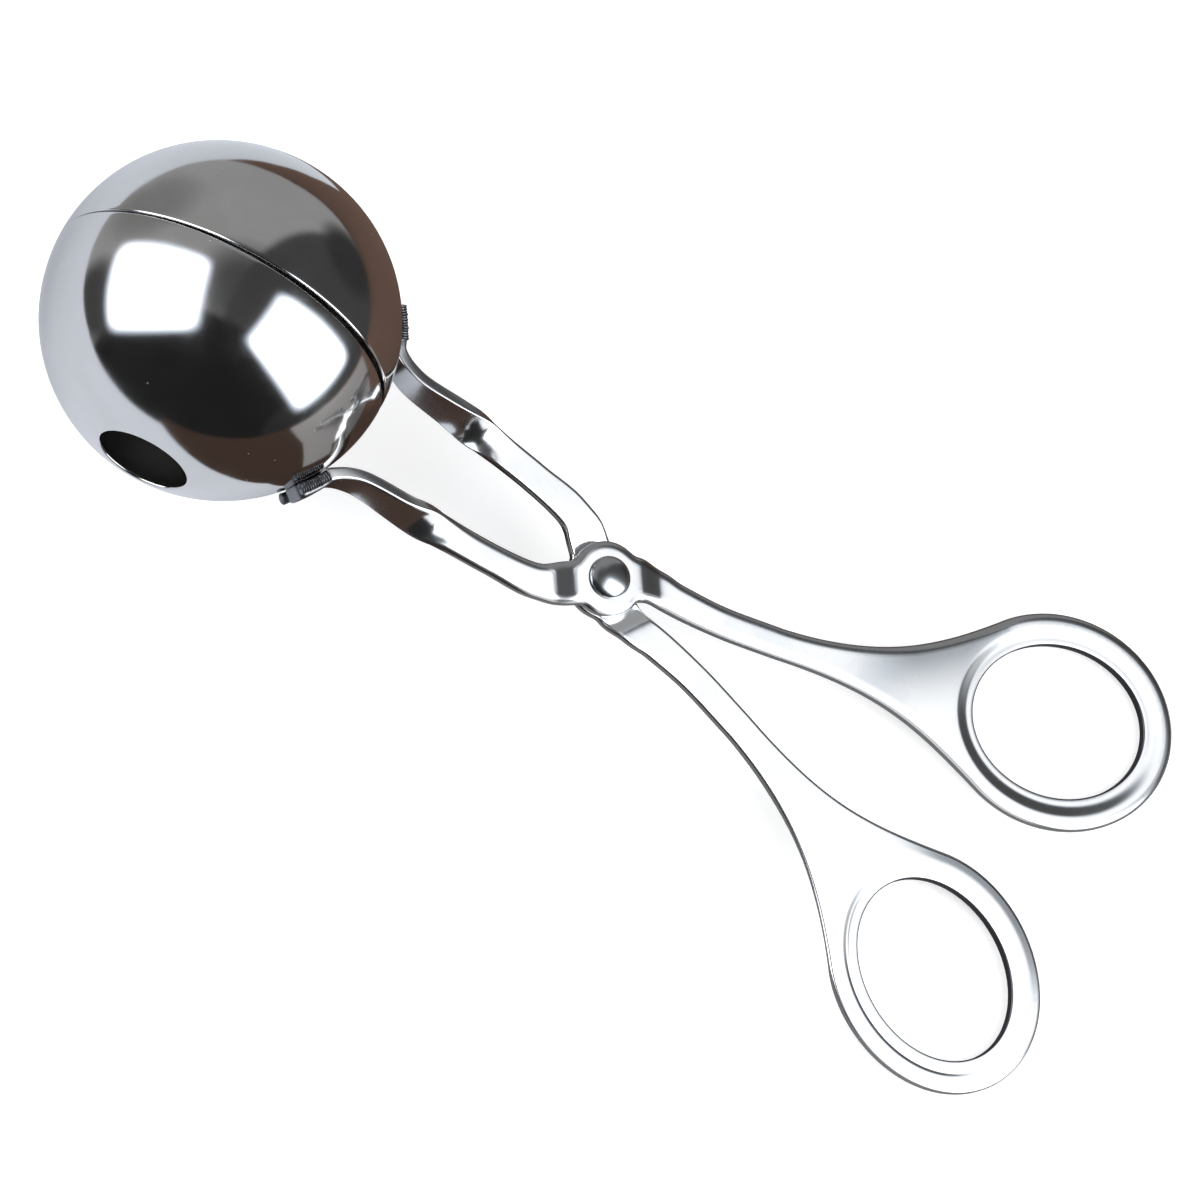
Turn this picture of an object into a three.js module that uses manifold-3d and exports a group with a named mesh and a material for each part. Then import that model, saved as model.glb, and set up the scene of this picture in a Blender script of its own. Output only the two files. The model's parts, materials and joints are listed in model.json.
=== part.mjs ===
// Meatball tongs: two stamped steel arms crossed on one rivet, each carrying half of a hollow ball.
// Millimetres, +Z up. The tongs lie as they rest on a table, on the ball and on both finger loops.
// The origin is the middle of the footprint, at table height.

import * as THREE from 'three';
import { mergeVertices } from 'three/addons/utils/BufferGeometryUtils.js';
import Module from 'manifold-3d';

// Driving dimensions. Angles are in degrees.

// Ball: two deep-drawn half shells, each with a round hole at its pole
const ballRadius = 28;
const shellDepth = 27.6;
const shellWall = 0.6;
const poleHoleRadius = 7.4;
const rimGap = 0.6;
const pivotToBall = 73.4;

// Strip that an arm is stamped from
const stripWidth = 5.0;
const stripThickness = 2.0;
const edgeChamfer = 0.5;

// Tab that lies on the half shell, measured round the ball from the line to the pivot
const tabStartAngle = 24;
const tabEndAngle = 37;
const tabWidth = 5.4;
const tabTwist = 90;
const tabThickness = 2.0;
const seatGap = 0.3;

// Jaw stretch of the arm: a twisted run beside the ball, then a flat run to the pivot
const rootStandOff = 2.8;
const rootSpread = 9.8;
const rootWidth = 5.7;
const rootTwist = 81;
const twistedWidth = 6.2;
const twistedAngle = 72;
const twistLength = 8.0;
const twistTowardBall = 2.7;
const twistedSpread = 9.2;
const flatSpread = 8.4;
const bowSpread = 7.7;

// Crossing: the strip swells as it runs into the round plate and narrows again beyond it
const crossingX = 10;
const crossingSpread = 6.6;
const crossingSwell = 0.6;
const entryX = 5.4;
const entrySpread = 4.3;
const entrySwell = 1.9;
const middleSwell = 2.5;
const exitX = 4.4;
const exitSpread = 2.8;
const exitSwell = 2.2;
const kneeX = 8;
const kneeSpread = 3.85;
const kneeSwell = 0.8;
const handleX = 12;
const handleSpread = 4.15;
const handleSwell = 0.3;
const gripX = 20;
const gripSpread = 5.35;

// Pivot: a round plate on each arm, set off the mid-plane by a step on either side of it
const plateRadius = 6.0;
const plateGap = 0.3;
const plateAxisAngle = 33;
const stepInset = 0.3;
const stepLength = 3.3;

// Rivet
const shankRadius = 2.2;
const shankClearance = 0.15;
const domeRadius = 3.4;
const domeHeight = 1.5;
const tailRadius = 3.2;
const tailHeight = 0.9;
const headGap = 0.2;

// Finger loop at the handle end
const loopX = 76.9;
const loopY = 23.7;
const loopTilt = 26;
const fingerHoleLong = 15.2;
const fingerHoleShort = 12.4;
const loopBand = 5.2;
const lipWidth = 1.9;
const lipDepth = 0.4;

// Neck that widens from the strip into the loop
const neckStartX = 30;
const neckStartY = 7.85;
const neckHeading = 16.5;
const outerMeetAngle = 120;
const innerMeetAngle = 226;
const outerLeavePull = 17;
const outerMeetPull = 12;
const innerLeavePull = 19;
const innerMeetPull = 14;
const neckInset = 0.3;

// Weld bead along each long edge of a tab
const beadRadius = 0.9;
const beadSetback = 3;

// Mesh fineness
const shellSegments = 40;
const shellRings = 10;
const pivotSegments = 28;
const domeSteps = 5;
const loopHalfSegments = 24;
const stepsPerSpan = 4;
const neckSteps = 8;
const beadSteps = 6;
const beadHalfSides = 4;

const radians = THREE.MathUtils.degToRad;
const wasm = await Module();
wasm.setup();

// Materials

const polishedSteel = () => new THREE.MeshStandardMaterial({ color: 0xd9dbdd, roughness: 0.12, metalness: 1.0 });
const mirrorSteel = () => new THREE.MeshStandardMaterial({ color: 0xc9c7c6, roughness: 0.05, metalness: 1.0 });
const rivetSteel = () => new THREE.MeshStandardMaterial({ color: 0xcfd2d4, roughness: 0.1, metalness: 1.0 });
const weldMetal = () => new THREE.MeshStandardMaterial({ color: 0x4a4b4e, roughness: 0.55, metalness: 0.9 });

// Booleans

function solidOf(geometry) {
  const bare = geometry.clone();
  bare.deleteAttribute('normal');
  bare.deleteAttribute('uv');
  const welded = mergeVertices(bare, 1e-4);
  const vertProperties = new Float32Array(welded.attributes.position.array);
  const triVerts = new Uint32Array(welded.index.array);
  return new wasm.Manifold(new wasm.Mesh({ numProp: 3, vertProperties, triVerts }));
}

function geometryOf(solid) {
  const mesh = solid.getMesh();
  const geometry = new THREE.BufferGeometry();
  geometry.setAttribute('position', new THREE.BufferAttribute(new Float32Array(mesh.vertProperties), 3));
  geometry.setIndex(new THREE.BufferAttribute(new Uint32Array(mesh.triVerts), 1));
  geometry.computeVertexNormals();
  return geometry;
}

// Places that several pieces share

const ballCentre = new THREE.Vector2(-pivotToBall, 0);
const plateOffset = (stripThickness + plateGap) / 2;

// A point at a given angle round the ball, off the shell's outside and above the mid-plane
function besideBall(angle, off, height = 0) {
  const along = Math.cos(radians(angle));
  const aside = Math.sin(radians(angle));
  const level = Math.sqrt(1 - (height / (ballRadius + off)) ** 2);
  const shell = level / Math.hypot(along / (ballRadius + off), aside / (shellDepth + off));
  return new THREE.Vector2(along, -aside).multiplyScalar(shell).add(ballCentre);
}

// A point of the finger loop's ellipse, a given distance outside the finger hole
function onLoop(angle, outside) {
  const long = (fingerHoleLong + outside) * Math.cos(radians(angle));
  const short = (fingerHoleShort + outside) * Math.sin(radians(angle));
  return new THREE.Vector2(long, short)
    .rotateAround(new THREE.Vector2(0, 0), radians(loopTilt))
    .add(new THREE.Vector2(loopX, loopY));
}

// The way the loop's outline runs at that angle, toward greater angles
function loopHeading(angle, outside) {
  const long = -(fingerHoleLong + outside) * Math.sin(radians(angle));
  const short = (fingerHoleShort + outside) * Math.cos(radians(angle));
  return new THREE.Vector2(long, short).rotateAround(new THREE.Vector2(0, 0), radians(loopTilt)).normalize();
}

// How far a point of the strip is lifted from the mid-plane by the steps beside the round plate
function plateLift(x, y) {
  const along = Math.abs(x * Math.cos(radians(plateAxisAngle)) + y * Math.sin(radians(plateAxisAngle)));
  const fallen = (along - (plateRadius - stepInset)) / stepLength;
  return plateOffset * (1 - THREE.MathUtils.clamp(fallen, 0, 1));
}

// Arm: its centre line in plan with the strip's width, thickness and twist at each place

function tabPlaces() {
  const places = [];
  const tabSpans = 3;
  for (let i = 0; i <= tabSpans; i += 1) {
    const angle = THREE.MathUtils.lerp(tabEndAngle, tabStartAngle, i / tabSpans);
    const centre = besideBall(angle, seatGap + tabThickness / 2);
    places.push({ x: centre.x, y: centre.y, width: tabWidth, thickness: tabThickness, twist: tabTwist });
  }
  return places;
}

function jawPlaces() {
  const rootX = ballRadius + rootStandOff - pivotToBall;
  const twistMiddle = (rootX - crossingX) / 2 - twistTowardBall;
  const flatX = twistMiddle + twistLength / 2;
  const bowX = (flatX - crossingX) / 2;
  const root = { width: rootWidth, thickness: stripThickness, twist: rootTwist };
  const twisted = { width: twistedWidth, thickness: stripThickness, twist: twistedAngle };
  const flat = { width: stripWidth, thickness: stripThickness, twist: 0 };
  return [
    { ...root, x: rootX, y: -rootSpread },
    { ...twisted, x: twistMiddle - twistLength / 2, y: -twistedSpread },
    { ...flat, x: flatX, y: -flatSpread },
    { ...flat, x: bowX, y: -bowSpread },
  ];
}

function crossingPlaces() {
  const flat = { thickness: stripThickness, twist: 0 };
  return [
    { ...flat, x: -crossingX, y: -crossingSpread, width: stripWidth + crossingSwell },
    { ...flat, x: -entryX, y: -entrySpread, width: stripWidth + entrySwell },
    { ...flat, x: 0, y: 0, width: stripWidth + middleSwell },
    { ...flat, x: exitX, y: exitSpread, width: stripWidth + exitSwell },
    { ...flat, x: kneeX, y: kneeSpread, width: stripWidth + kneeSwell },
    { ...flat, x: handleX, y: handleSpread, width: stripWidth + handleSwell },
    { ...flat, x: gripX, y: gripSpread, width: stripWidth },
    { ...flat, x: neckStartX, y: neckStartY, width: stripWidth },
  ];
}

// Cross sections of the strip, each with its centre, the way across it and half its width
function stripSections() {
  const places = [...tabPlaces(), ...jawPlaces(), ...crossingPlaces()];
  const line = new THREE.CatmullRomCurve3(places.map((place) => new THREE.Vector3(place.x, place.y, 0)));
  const spans = places.length - 1;
  const count = spans * stepsPerSpan;
  const sections = [];
  for (let i = 0; i <= count; i += 1) {
    const here = line.getPoint(i / count);
    const heading = i === count ? neckDirection() : line.getTangent(i / count);
    const span = Math.min(Math.floor(i / stepsPerSpan), spans - 1);
    const share = THREE.MathUtils.smoothstep(i / stepsPerSpan - span, 0, 1);
    const between = (trait) => THREE.MathUtils.lerp(places[span][trait], places[span + 1][trait], share);
    sections.push({
      centre: new THREE.Vector2(here.x, here.y),
      across: new THREE.Vector2(-heading.y, heading.x).normalize(),
      halfWidth: between('width') / 2,
      halfThickness: between('thickness') / 2,
      twist: radians(between('twist')),
    });
  }
  return sections;
}

function neckDirection() {
  return new THREE.Vector2(Math.cos(radians(neckHeading)), Math.sin(radians(neckHeading)));
}

// One edge of the neck: it leaves the strip along the strip and meets the loop along the loop
function neckEdge(side, meetAngle, leavePull, meetPull) {
  const outside = loopBand - neckInset;
  const along = neckDirection();
  const square = new THREE.Vector2(-along.y, along.x);
  const start = new THREE.Vector2(neckStartX, neckStartY).addScaledVector(square, (side * stripWidth) / 2);
  const end = onLoop(meetAngle, outside);
  const leave = start.clone().addScaledVector(along, leavePull);
  const arrive = end.clone().addScaledVector(loopHeading(meetAngle, outside), side * meetPull);
  return new THREE.CubicBezierCurve(start, leave, arrive, end);
}

function neckSections() {
  const outer = neckEdge(1, outerMeetAngle, outerLeavePull, outerMeetPull);
  const inner = neckEdge(-1, innerMeetAngle, innerLeavePull, innerMeetPull);
  const sections = [];
  for (let i = 1; i <= neckSteps; i += 1) {
    const left = outer.getPoint(i / neckSteps);
    const right = inner.getPoint(i / neckSteps);
    sections.push({
      centre: left.clone().add(right).multiplyScalar(0.5),
      across: left.clone().sub(right).normalize(),
      halfWidth: left.distanceTo(right) / 2,
      halfThickness: stripThickness / 2,
      twist: 0,
    });
  }
  return sections;
}

// The eight corners of one cross section: a rectangle with its corners taken off
function sectionCorners({ centre, across, halfWidth, halfThickness, twist }) {
  const wide = halfWidth - edgeChamfer;
  const thick = halfThickness - edgeChamfer;
  const corners = [
    [halfWidth, -thick],
    [halfWidth, thick],
    [wide, halfThickness],
    [-wide, halfThickness],
    [-halfWidth, thick],
    [-halfWidth, -thick],
    [-wide, -halfThickness],
    [wide, -halfThickness],
  ];
  return corners.map(([sideways, outward]) => {
    const level = sideways * Math.cos(twist) - outward * Math.sin(twist);
    const x = centre.x + across.x * level;
    const y = centre.y + across.y * level;
    const z = sideways * Math.sin(twist) + outward * Math.cos(twist);
    return new THREE.Vector3(x, y, z + plateLift(x, y));
  });
}

// A closed solid through a row of cross sections
function loft(sections) {
  const rings = sections.map(sectionCorners);
  const sides = rings[0].length;
  const positions = rings.flat().flatMap((corner) => corner.toArray());
  const triangles = [];
  for (let ring = 0; ring < rings.length - 1; ring += 1) {
    for (let side = 0; side < sides; side += 1) {
      const a = ring * sides + side;
      const b = ring * sides + ((side + 1) % sides);
      triangles.push(a, b, b + sides, a, b + sides, a + sides);
    }
  }
  const last = (rings.length - 1) * sides;
  for (let side = 1; side < sides - 1; side += 1) {
    triangles.push(0, side + 1, side);
    triangles.push(last, last + side, last + side + 1);
  }
  const geometry = new THREE.BufferGeometry();
  geometry.setAttribute('position', new THREE.Float32BufferAttribute(positions, 3));
  geometry.setIndex(triangles);
  return geometry;
}

function loopEllipse(outside) {
  const shape = new THREE.Shape();
  const long = fingerHoleLong + outside;
  const short = fingerHoleShort + outside;
  shape.absellipse(loopX, loopY, long, short, 0, Math.PI * 2, false, radians(loopTilt));
  return shape;
}

function loopBlank() {
  const geometry = new THREE.ExtrudeGeometry(loopEllipse(loopBand), {
    depth: stripThickness - 2 * edgeChamfer,
    bevelThickness: edgeChamfer,
    bevelSize: edgeChamfer,
    bevelOffset: -edgeChamfer,
    bevelSegments: 1,
    curveSegments: loopHalfSegments,
  });
  return geometry.translate(0, 0, edgeChamfer - stripThickness / 2);
}

// A straight elliptical cutter round the finger hole, between two heights
function loopCutter(outside, bottom, top) {
  const settings = { depth: top - bottom, bevelEnabled: false, curveSegments: loopHalfSegments };
  return new THREE.ExtrudeGeometry(loopEllipse(outside), settings).translate(0, 0, bottom);
}

function roundPost(radius, bottom, top) {
  const post = new THREE.CylinderGeometry(radius, radius, top - bottom, pivotSegments);
  return post.rotateX(Math.PI / 2).translate(0, 0, (top + bottom) / 2);
}

function pivotPlate() {
  const rim = stripThickness / 2 - edgeChamfer;
  const profile = [
    new THREE.Vector2(0, -stripThickness / 2),
    new THREE.Vector2(plateRadius - edgeChamfer, -stripThickness / 2),
    new THREE.Vector2(plateRadius, -rim),
    new THREE.Vector2(plateRadius, rim),
    new THREE.Vector2(plateRadius - edgeChamfer, stripThickness / 2),
    new THREE.Vector2(0, stripThickness / 2),
  ];
  return new THREE.LatheGeometry(profile, pivotSegments).rotateX(Math.PI / 2).translate(0, 0, plateOffset);
}

function armGeometry() {
  const beyond = stripThickness * 2;
  const lipFloor = stripThickness / 2 - lipDepth;
  const blank = solidOf(loft([...stripSections(), ...neckSections()]))
    .add(solidOf(pivotPlate()))
    .add(solidOf(loopBlank()));
  const cut = blank
    .subtract(solidOf(loopCutter(0, -beyond, beyond)))
    .subtract(solidOf(loopCutter(lipWidth, lipFloor, beyond)))
    .subtract(solidOf(roundPost(shankRadius + shankClearance, -beyond, beyond)));
  return geometryOf(cut);
}

// Half shell: a hemisphere's wall between the rim and the pole hole, turned about the pole line

function shellGeometry() {
  const profile = [];
  const addWall = (radius, depth, fromRim) => {
    const rimAngle = Math.asin(rimGap / 2 / depth);
    const poleAngle = Math.acos(poleHoleRadius / radius);
    for (let i = 0; i <= shellRings; i += 1) {
      const share = fromRim ? i / shellRings : 1 - i / shellRings;
      const angle = THREE.MathUtils.lerp(rimAngle, poleAngle, share);
      profile.push(new THREE.Vector2(radius * Math.cos(angle), -depth * Math.sin(angle)));
    }
  };
  addWall(ballRadius - shellWall, shellDepth - shellWall, true);
  addWall(ballRadius, shellDepth, false);
  profile.push(profile[0].clone());
  return new THREE.LatheGeometry(profile, shellSegments);
}

// Rivet: a low dome in front, a shank through both plates and a flat formed tail behind

function rivetGeometry() {
  const seat = plateOffset + stripThickness / 2 + headGap;
  const profile = [
    new THREE.Vector2(0, -seat - tailHeight),
    new THREE.Vector2(tailRadius - tailHeight / 2, -seat - tailHeight),
    new THREE.Vector2(tailRadius, -seat - tailHeight / 2),
    new THREE.Vector2(tailRadius, -seat),
    new THREE.Vector2(shankRadius, -seat),
    new THREE.Vector2(shankRadius, seat),
  ];
  const capRadius = (domeRadius ** 2 + domeHeight ** 2) / (2 * domeHeight);
  const rimAngle = Math.asin(domeRadius / capRadius);
  for (let i = 0; i <= domeSteps; i += 1) {
    const angle = rimAngle * (1 - i / domeSteps);
    const height = seat + domeHeight - capRadius * (1 - Math.cos(angle));
    profile.push(new THREE.Vector2(capRadius * Math.sin(angle), height));
  }
  return new THREE.LatheGeometry(profile, pivotSegments).rotateX(Math.PI / 2);
}

// Weld bead: a thin bar that follows the shell just beyond one long edge of the tab

class BeadLine extends THREE.Curve {
  constructor(height) {
    super();
    this.height = height;
  }

  getPoint(share, target = new THREE.Vector3()) {
    const angle = THREE.MathUtils.lerp(tabStartAngle + beadSetback, tabEndAngle, share);
    const place = besideBall(angle, seatGap + beadRadius, this.height);
    return target.set(place.x, place.y, this.height);
  }
}

function beadGeometry(side) {
  const section = new THREE.Shape().absarc(0, 0, beadRadius, 0, Math.PI * 2);
  const line = new BeadLine(side * (tabWidth / 2 + seatGap + beadRadius));
  return new THREE.ExtrudeGeometry(section, {
    steps: beadSteps,
    curveSegments: beadHalfSides,
    extrudePath: line,
    bevelEnabled: false,
  });
}

// Assembly: the rear half is the front half turned over about the long axis

function half(side, turnedOver) {
  const group = new THREE.Group();
  const add = (name, geometry, material) => {
    const mesh = new THREE.Mesh(geometry, material);
    mesh.name = `${side}_${name}`;
    group.add(mesh);
    return mesh;
  };
  const upper = turnedOver ? -1 : 1;
  add('arm', armGeometry(), polishedSteel());
  add('shell', shellGeometry(), mirrorSteel()).position.set(ballCentre.x, ballCentre.y, 0);
  add('upper_weld', beadGeometry(upper), weldMetal());
  add('lower_weld', beadGeometry(-upper), weldMetal());
  group.rotation.x = turnedOver ? Math.PI : 0;
  return group;
}

const tongs = new THREE.Group();
tongs.add(half('front', false));
tongs.add(half('rear', true));
const rivet = new THREE.Mesh(rivetGeometry(), rivetSteel());
rivet.name = 'pivot_rivet';
tongs.add(rivet);

// At rest the mid-plane slopes down from the ball's middle to the far ends of the loops
const loopTip = Math.hypot((fingerHoleLong + loopBand) * Math.cos(radians(loopTilt)),
  (fingerHoleShort + loopBand) * Math.sin(radians(loopTilt)));
const reach = pivotToBall + loopX + loopTip;
tongs.rotation.y = Math.asin((ballRadius - stripThickness / 2) / reach);

const part = new THREE.Group();
part.add(tongs);
part.updateMatrixWorld(true);
const box = new THREE.Box3().setFromObject(part, true);
const middle = box.getCenter(new THREE.Vector3());
tongs.position.set(-middle.x, -middle.y, -box.min.z);

export default part;
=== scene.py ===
"""Looks of a pair of meatball tongs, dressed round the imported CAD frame.

Two equal arms cross on a rivet, and each carries half of a hollow ball. The rear half is the front half
turned over about the long axis. Sizes are in millimetres and degrees in the tongs' own frame: the pivot is
its origin, +X runs to the handles and +Z is the pivot axis. ToolFrame turns them into metres in the frame
of the CAD.
"""
from __future__ import annotations

import json
import logging
import math
from dataclasses import dataclass, field
from enum import Enum
from typing import NamedTuple

import bmesh
import bpy
import numpy as np
from mathutils import Matrix, Quaternion, Vector
from mathutils.geometry import delaunay_2d_cdt
from mathutils.kdtree import KDTree

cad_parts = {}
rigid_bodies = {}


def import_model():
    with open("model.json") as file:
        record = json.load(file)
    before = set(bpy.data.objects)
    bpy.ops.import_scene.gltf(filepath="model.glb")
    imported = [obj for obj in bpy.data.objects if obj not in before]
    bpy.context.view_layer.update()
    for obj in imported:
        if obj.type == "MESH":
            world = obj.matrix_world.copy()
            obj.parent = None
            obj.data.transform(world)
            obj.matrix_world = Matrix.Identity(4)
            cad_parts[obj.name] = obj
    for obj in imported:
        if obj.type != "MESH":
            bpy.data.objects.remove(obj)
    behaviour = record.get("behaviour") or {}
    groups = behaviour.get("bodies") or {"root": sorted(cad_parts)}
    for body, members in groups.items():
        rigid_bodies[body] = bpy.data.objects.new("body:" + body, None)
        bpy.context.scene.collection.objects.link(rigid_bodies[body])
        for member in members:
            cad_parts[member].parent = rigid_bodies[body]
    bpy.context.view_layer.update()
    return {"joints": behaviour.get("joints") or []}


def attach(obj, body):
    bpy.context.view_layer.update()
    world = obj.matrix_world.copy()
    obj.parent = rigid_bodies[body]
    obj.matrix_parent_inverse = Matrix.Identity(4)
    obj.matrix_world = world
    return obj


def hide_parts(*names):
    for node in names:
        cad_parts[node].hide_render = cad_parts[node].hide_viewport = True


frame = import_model()

log = logging.getLogger("meatball_tongs")

MM = 0.001
BALL_RADIUS = 28.0
SHELL_DEPTH = 27.6
PIVOT_TO_BALL = 73.4
MERGE_DISTANCE = 1e-6
TRIANGLE_HEIGHT = math.sqrt(0.75)


class Side(Enum):
    """The two halves of the tongs."""

    FRONT = "front"
    REAR = "rear"

    @property
    def body(self) -> str:
        """Name of the CAD body of this half."""
        return f"{self.value}_half"

    @property
    def turned_over(self) -> bool:
        """Whether this half is turned over about the long axis."""
        return self is Side.REAR


class Level(Enum):
    """The two long edges of a tab."""

    UPPER = 1
    LOWER = -1


class Place(NamedTuple):
    """A place on the centre line of an arm, with the strip's width and twist there."""

    x: float
    y: float
    width: float
    twist: float


@dataclass
class Solid:
    """Points and faces of one closed shape, and at each point how dull the steel is and how much painted
    shade darkens it.
    """

    points: np.ndarray
    faces: list[tuple[int, ...]]
    dullness: np.ndarray


@dataclass(frozen=True)
class ToolFrame:
    """The tongs' own frame, taken from the pivot joint of the CAD frame."""

    pivot: Vector
    axis: Vector

    @classmethod
    def from_joint(cls, joint: dict) -> ToolFrame:
        """Reads the frame from the pivot.

        Args:
            joint: The pivot joint of the CAD frame, whose axis points down.

        Returns:
            The tongs' own frame.
        """
        return cls(Vector(joint["pos_m"]), -Vector(joint["axis"]).normalized())

    @property
    def turn(self) -> Matrix:
        """Rotation from the tongs' frame to the CAD frame.

        Returns:
            The rotation, whose columns are the tongs' axes.
        """
        across = Vector((0.0, 1.0, 0.0))
        along = across.cross(self.axis).normalized()
        return Matrix((along, across, self.axis)).transposed()

    def place(self, points: np.ndarray, turned_over: bool = False) -> np.ndarray:
        """Brings points into the CAD frame.

        Args:
            points: Points in millimetres, one a row.
            turned_over: Whether they are turned over about the long axis first.

        Returns:
            The points in metres.
        """
        shown = points * np.array((1.0, -1.0, -1.0)) if turned_over else points
        return shown @ np.array(self.turn).T * MM + np.array(self.pivot)


def unit(vectors: np.ndarray) -> np.ndarray:
    """Brings each row of vectors to length 1."""
    return vectors / np.linalg.norm(vectors, axis=1)[:, None]


def stations(line: np.ndarray) -> np.ndarray:
    """Gives the distance along a line at each of its points."""
    return np.concatenate(([0.0], np.cumsum(np.linalg.norm(np.diff(line, axis=0), axis=1))))


def read_at(wanted: np.ndarray, station: np.ndarray, line: np.ndarray) -> np.ndarray:
    """Reads the rows of a line, known at some stations, at the wanted ones."""
    return np.column_stack([np.interp(wanted, station, column) for column in line.T])


def toward(azimuth: float, elevation: float) -> Vector:
    """Gives the direction at an azimuth and an elevation.

    Args:
        azimuth: Degrees round the upright axis, from the first axis toward the second.
        elevation: Degrees above the level.

    Returns:
        The direction.
    """
    turn = math.radians(azimuth)
    rise = math.radians(elevation)
    return Vector((math.cos(turn) * math.cos(rise), math.sin(turn) * math.cos(rise), math.sin(rise)))


def facing(away: Vector, roll: float) -> Quaternion:
    """Turns a lamp or camera that stands in a direction to look back along it, rolled by some degrees."""
    return (-away).to_track_quat("-Z", "Y") @ Quaternion((0.0, 0.0, 1.0), math.radians(roll))


def smooth(share: np.ndarray) -> np.ndarray:
    """Eases a share from 0 to 1."""
    held = np.clip(share, 0.0, 1.0)
    return held * held * (3.0 - 2.0 * held)


def soft_ramp(share: np.ndarray, bend: float) -> np.ndarray:
    """Runs straight from 0 to 1 with a rounded bend at both ends.

    Args:
        share: Place along the ramp, 0 at its start and 1 at its end.
        bend: Size of the bends as a share of the ramp.

    Returns:
        Height of the ramp at each place.
    """
    return (np.hypot(share, bend) - np.hypot(share - 1.0, bend) + 1.0) / 2.0


def soft_larger(first: np.ndarray, second: np.ndarray, blend: float) -> np.ndarray:
    """Takes the larger of two values with a rounded change from one to the other."""
    nearness = np.clip(blend - np.abs(first - second), 0.0, None) / blend
    return np.maximum(first, second) + nearness * nearness * blend / 4.0


def catmull_rom(points: np.ndarray, steps: int) -> np.ndarray:
    """Runs a centripetal curve through points.

    Args:
        points: Points to pass, one a row.
        steps: Steps between two neighbours.

    Returns:
        Points along the curve.
    """
    ends = (2.0 * points[0] - points[1], 2.0 * points[-1] - points[-2])
    padded = np.vstack((ends[0], points, ends[1]))
    share = np.linspace(0.0, 1.0, steps, endpoint=False)[:, None]
    spans = []
    for before, start, end, after in zip(padded, padded[1:], padded[2:], padded[3:]):
        first = math.sqrt(np.linalg.norm(start - before))
        second = math.sqrt(np.linalg.norm(end - start))
        third = math.sqrt(np.linalg.norm(after - end))
        leave = (start - before) / first - (end - before) / (first + second) + (end - start) / second
        arrive = (end - start) / second - (after - start) / (second + third) + (after - end) / third
        cubic = 2.0 * start - 2.0 * end + (leave + arrive) * second
        square = -3.0 * start + 3.0 * end - (2.0 * leave + arrive) * second
        spans.append(start + leave * second * share + square * share**2 + cubic * share**3)
    spans.append(points[-1:])
    return np.vstack(spans)


def eased(values: np.ndarray, steps: int) -> np.ndarray:
    """Rounds off the changes in a row of evenly spaced values.

    Args:
        values: The values.
        steps: Number of neighbours on each side that count.

    Returns:
        The rounded values.
    """
    weight = np.hanning(2 * steps + 3)[1:-1]
    padded = np.pad(values, steps, mode="edge")
    return np.convolve(padded, weight / weight.sum(), mode="valid")


def bezier(corners: np.ndarray, steps: int) -> np.ndarray:
    """Runs a cubic curve from the first of four corners to the last.

    Args:
        corners: The corners, one a row.
        steps: Number of points on the curve.

    Returns:
        Points along the curve.
    """
    share = np.linspace(0.0, 1.0, steps)[:, None]
    left = 1.0 - share
    return (
        corners[0] * left**3
        + corners[1] * 3.0 * left**2 * share
        + corners[2] * 3.0 * left * share**2
        + corners[3] * share**3
    )


def resample_loop(points: np.ndarray, spacing: float) -> np.ndarray:
    """Spaces the points of a closed line evenly.

    Args:
        points: Points of the line, the last one not repeating the first.
        spacing: Wanted distance between neighbours.

    Returns:
        Evenly spaced points on the line.
    """
    closed = np.vstack((points, points[:1]))
    station = stations(closed)
    count = round(station[-1] / spacing)
    return read_at(np.linspace(0.0, station[-1], count, endpoint=False), station, closed)


def right_of(points: np.ndarray) -> np.ndarray:
    """Gives the direction to the right of a closed line at each of its points."""
    ahead = unit(np.roll(points, -1, axis=0) - np.roll(points, 1, axis=0))
    return np.column_stack((ahead[:, 1], -ahead[:, 0]))


def nearest(points: np.ndarray, line: np.ndarray) -> tuple[np.ndarray, np.ndarray]:
    """Finds the point of a line that is nearest to each point.

    Args:
        points: Points to ask for.
        line: Points of the line.

    Returns:
        Row of the nearest point in the line, and the distance to it.
    """
    tree = KDTree(len(line))
    for row, (x, y) in enumerate(line):
        tree.insert((x, y, 0.0), row)
    tree.balance()
    found = [tree.find((x, y, 0.0)) for x, y in points]
    return np.array([hit[1] for hit in found]), np.array([hit[2] for hit in found])


def turned(profile: np.ndarray, segments: int, closed: bool) -> Solid:
    """Turns a profile about the Z axis.

    Args:
        profile: Radius and height of each point of the profile.
        segments: Steps round the axis.
        closed: Whether the profile closes on itself. An open one starts and ends on the axis.

    Returns:
        The turned shape.
    """
    angle = np.linspace(0.0, 2.0 * math.pi, segments, endpoint=False)
    rings = profile if closed else profile[1:-1]
    points = np.stack(
        (
            np.outer(rings[:, 0], np.cos(angle)),
            np.outer(rings[:, 0], np.sin(angle)),
            np.repeat(rings[:, 1:], segments, axis=1),
        ),
        axis=2,
    ).reshape(-1, 3)
    count = len(rings)
    faces: list[tuple[int, ...]] = []
    for ring in range(count if closed else count - 1):
        lower = ring * segments
        upper = (ring + 1) % count * segments
        for step in range(segments):
            after = (step + 1) % segments
            faces.append((lower + step, lower + after, upper + after, upper + step))
    if not closed:
        poles = np.array(((0.0, 0.0, profile[0, 1]), (0.0, 0.0, profile[-1, 1])))
        first = len(points)
        last = (count - 1) * segments
        points = np.vstack((points, poles))
        for step in range(segments):
            after = (step + 1) % segments
            faces.append((first, after, step))
            faces.append((first + 1, last + step, last + after))
    return Solid(points, faces, np.zeros(len(points)))


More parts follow.
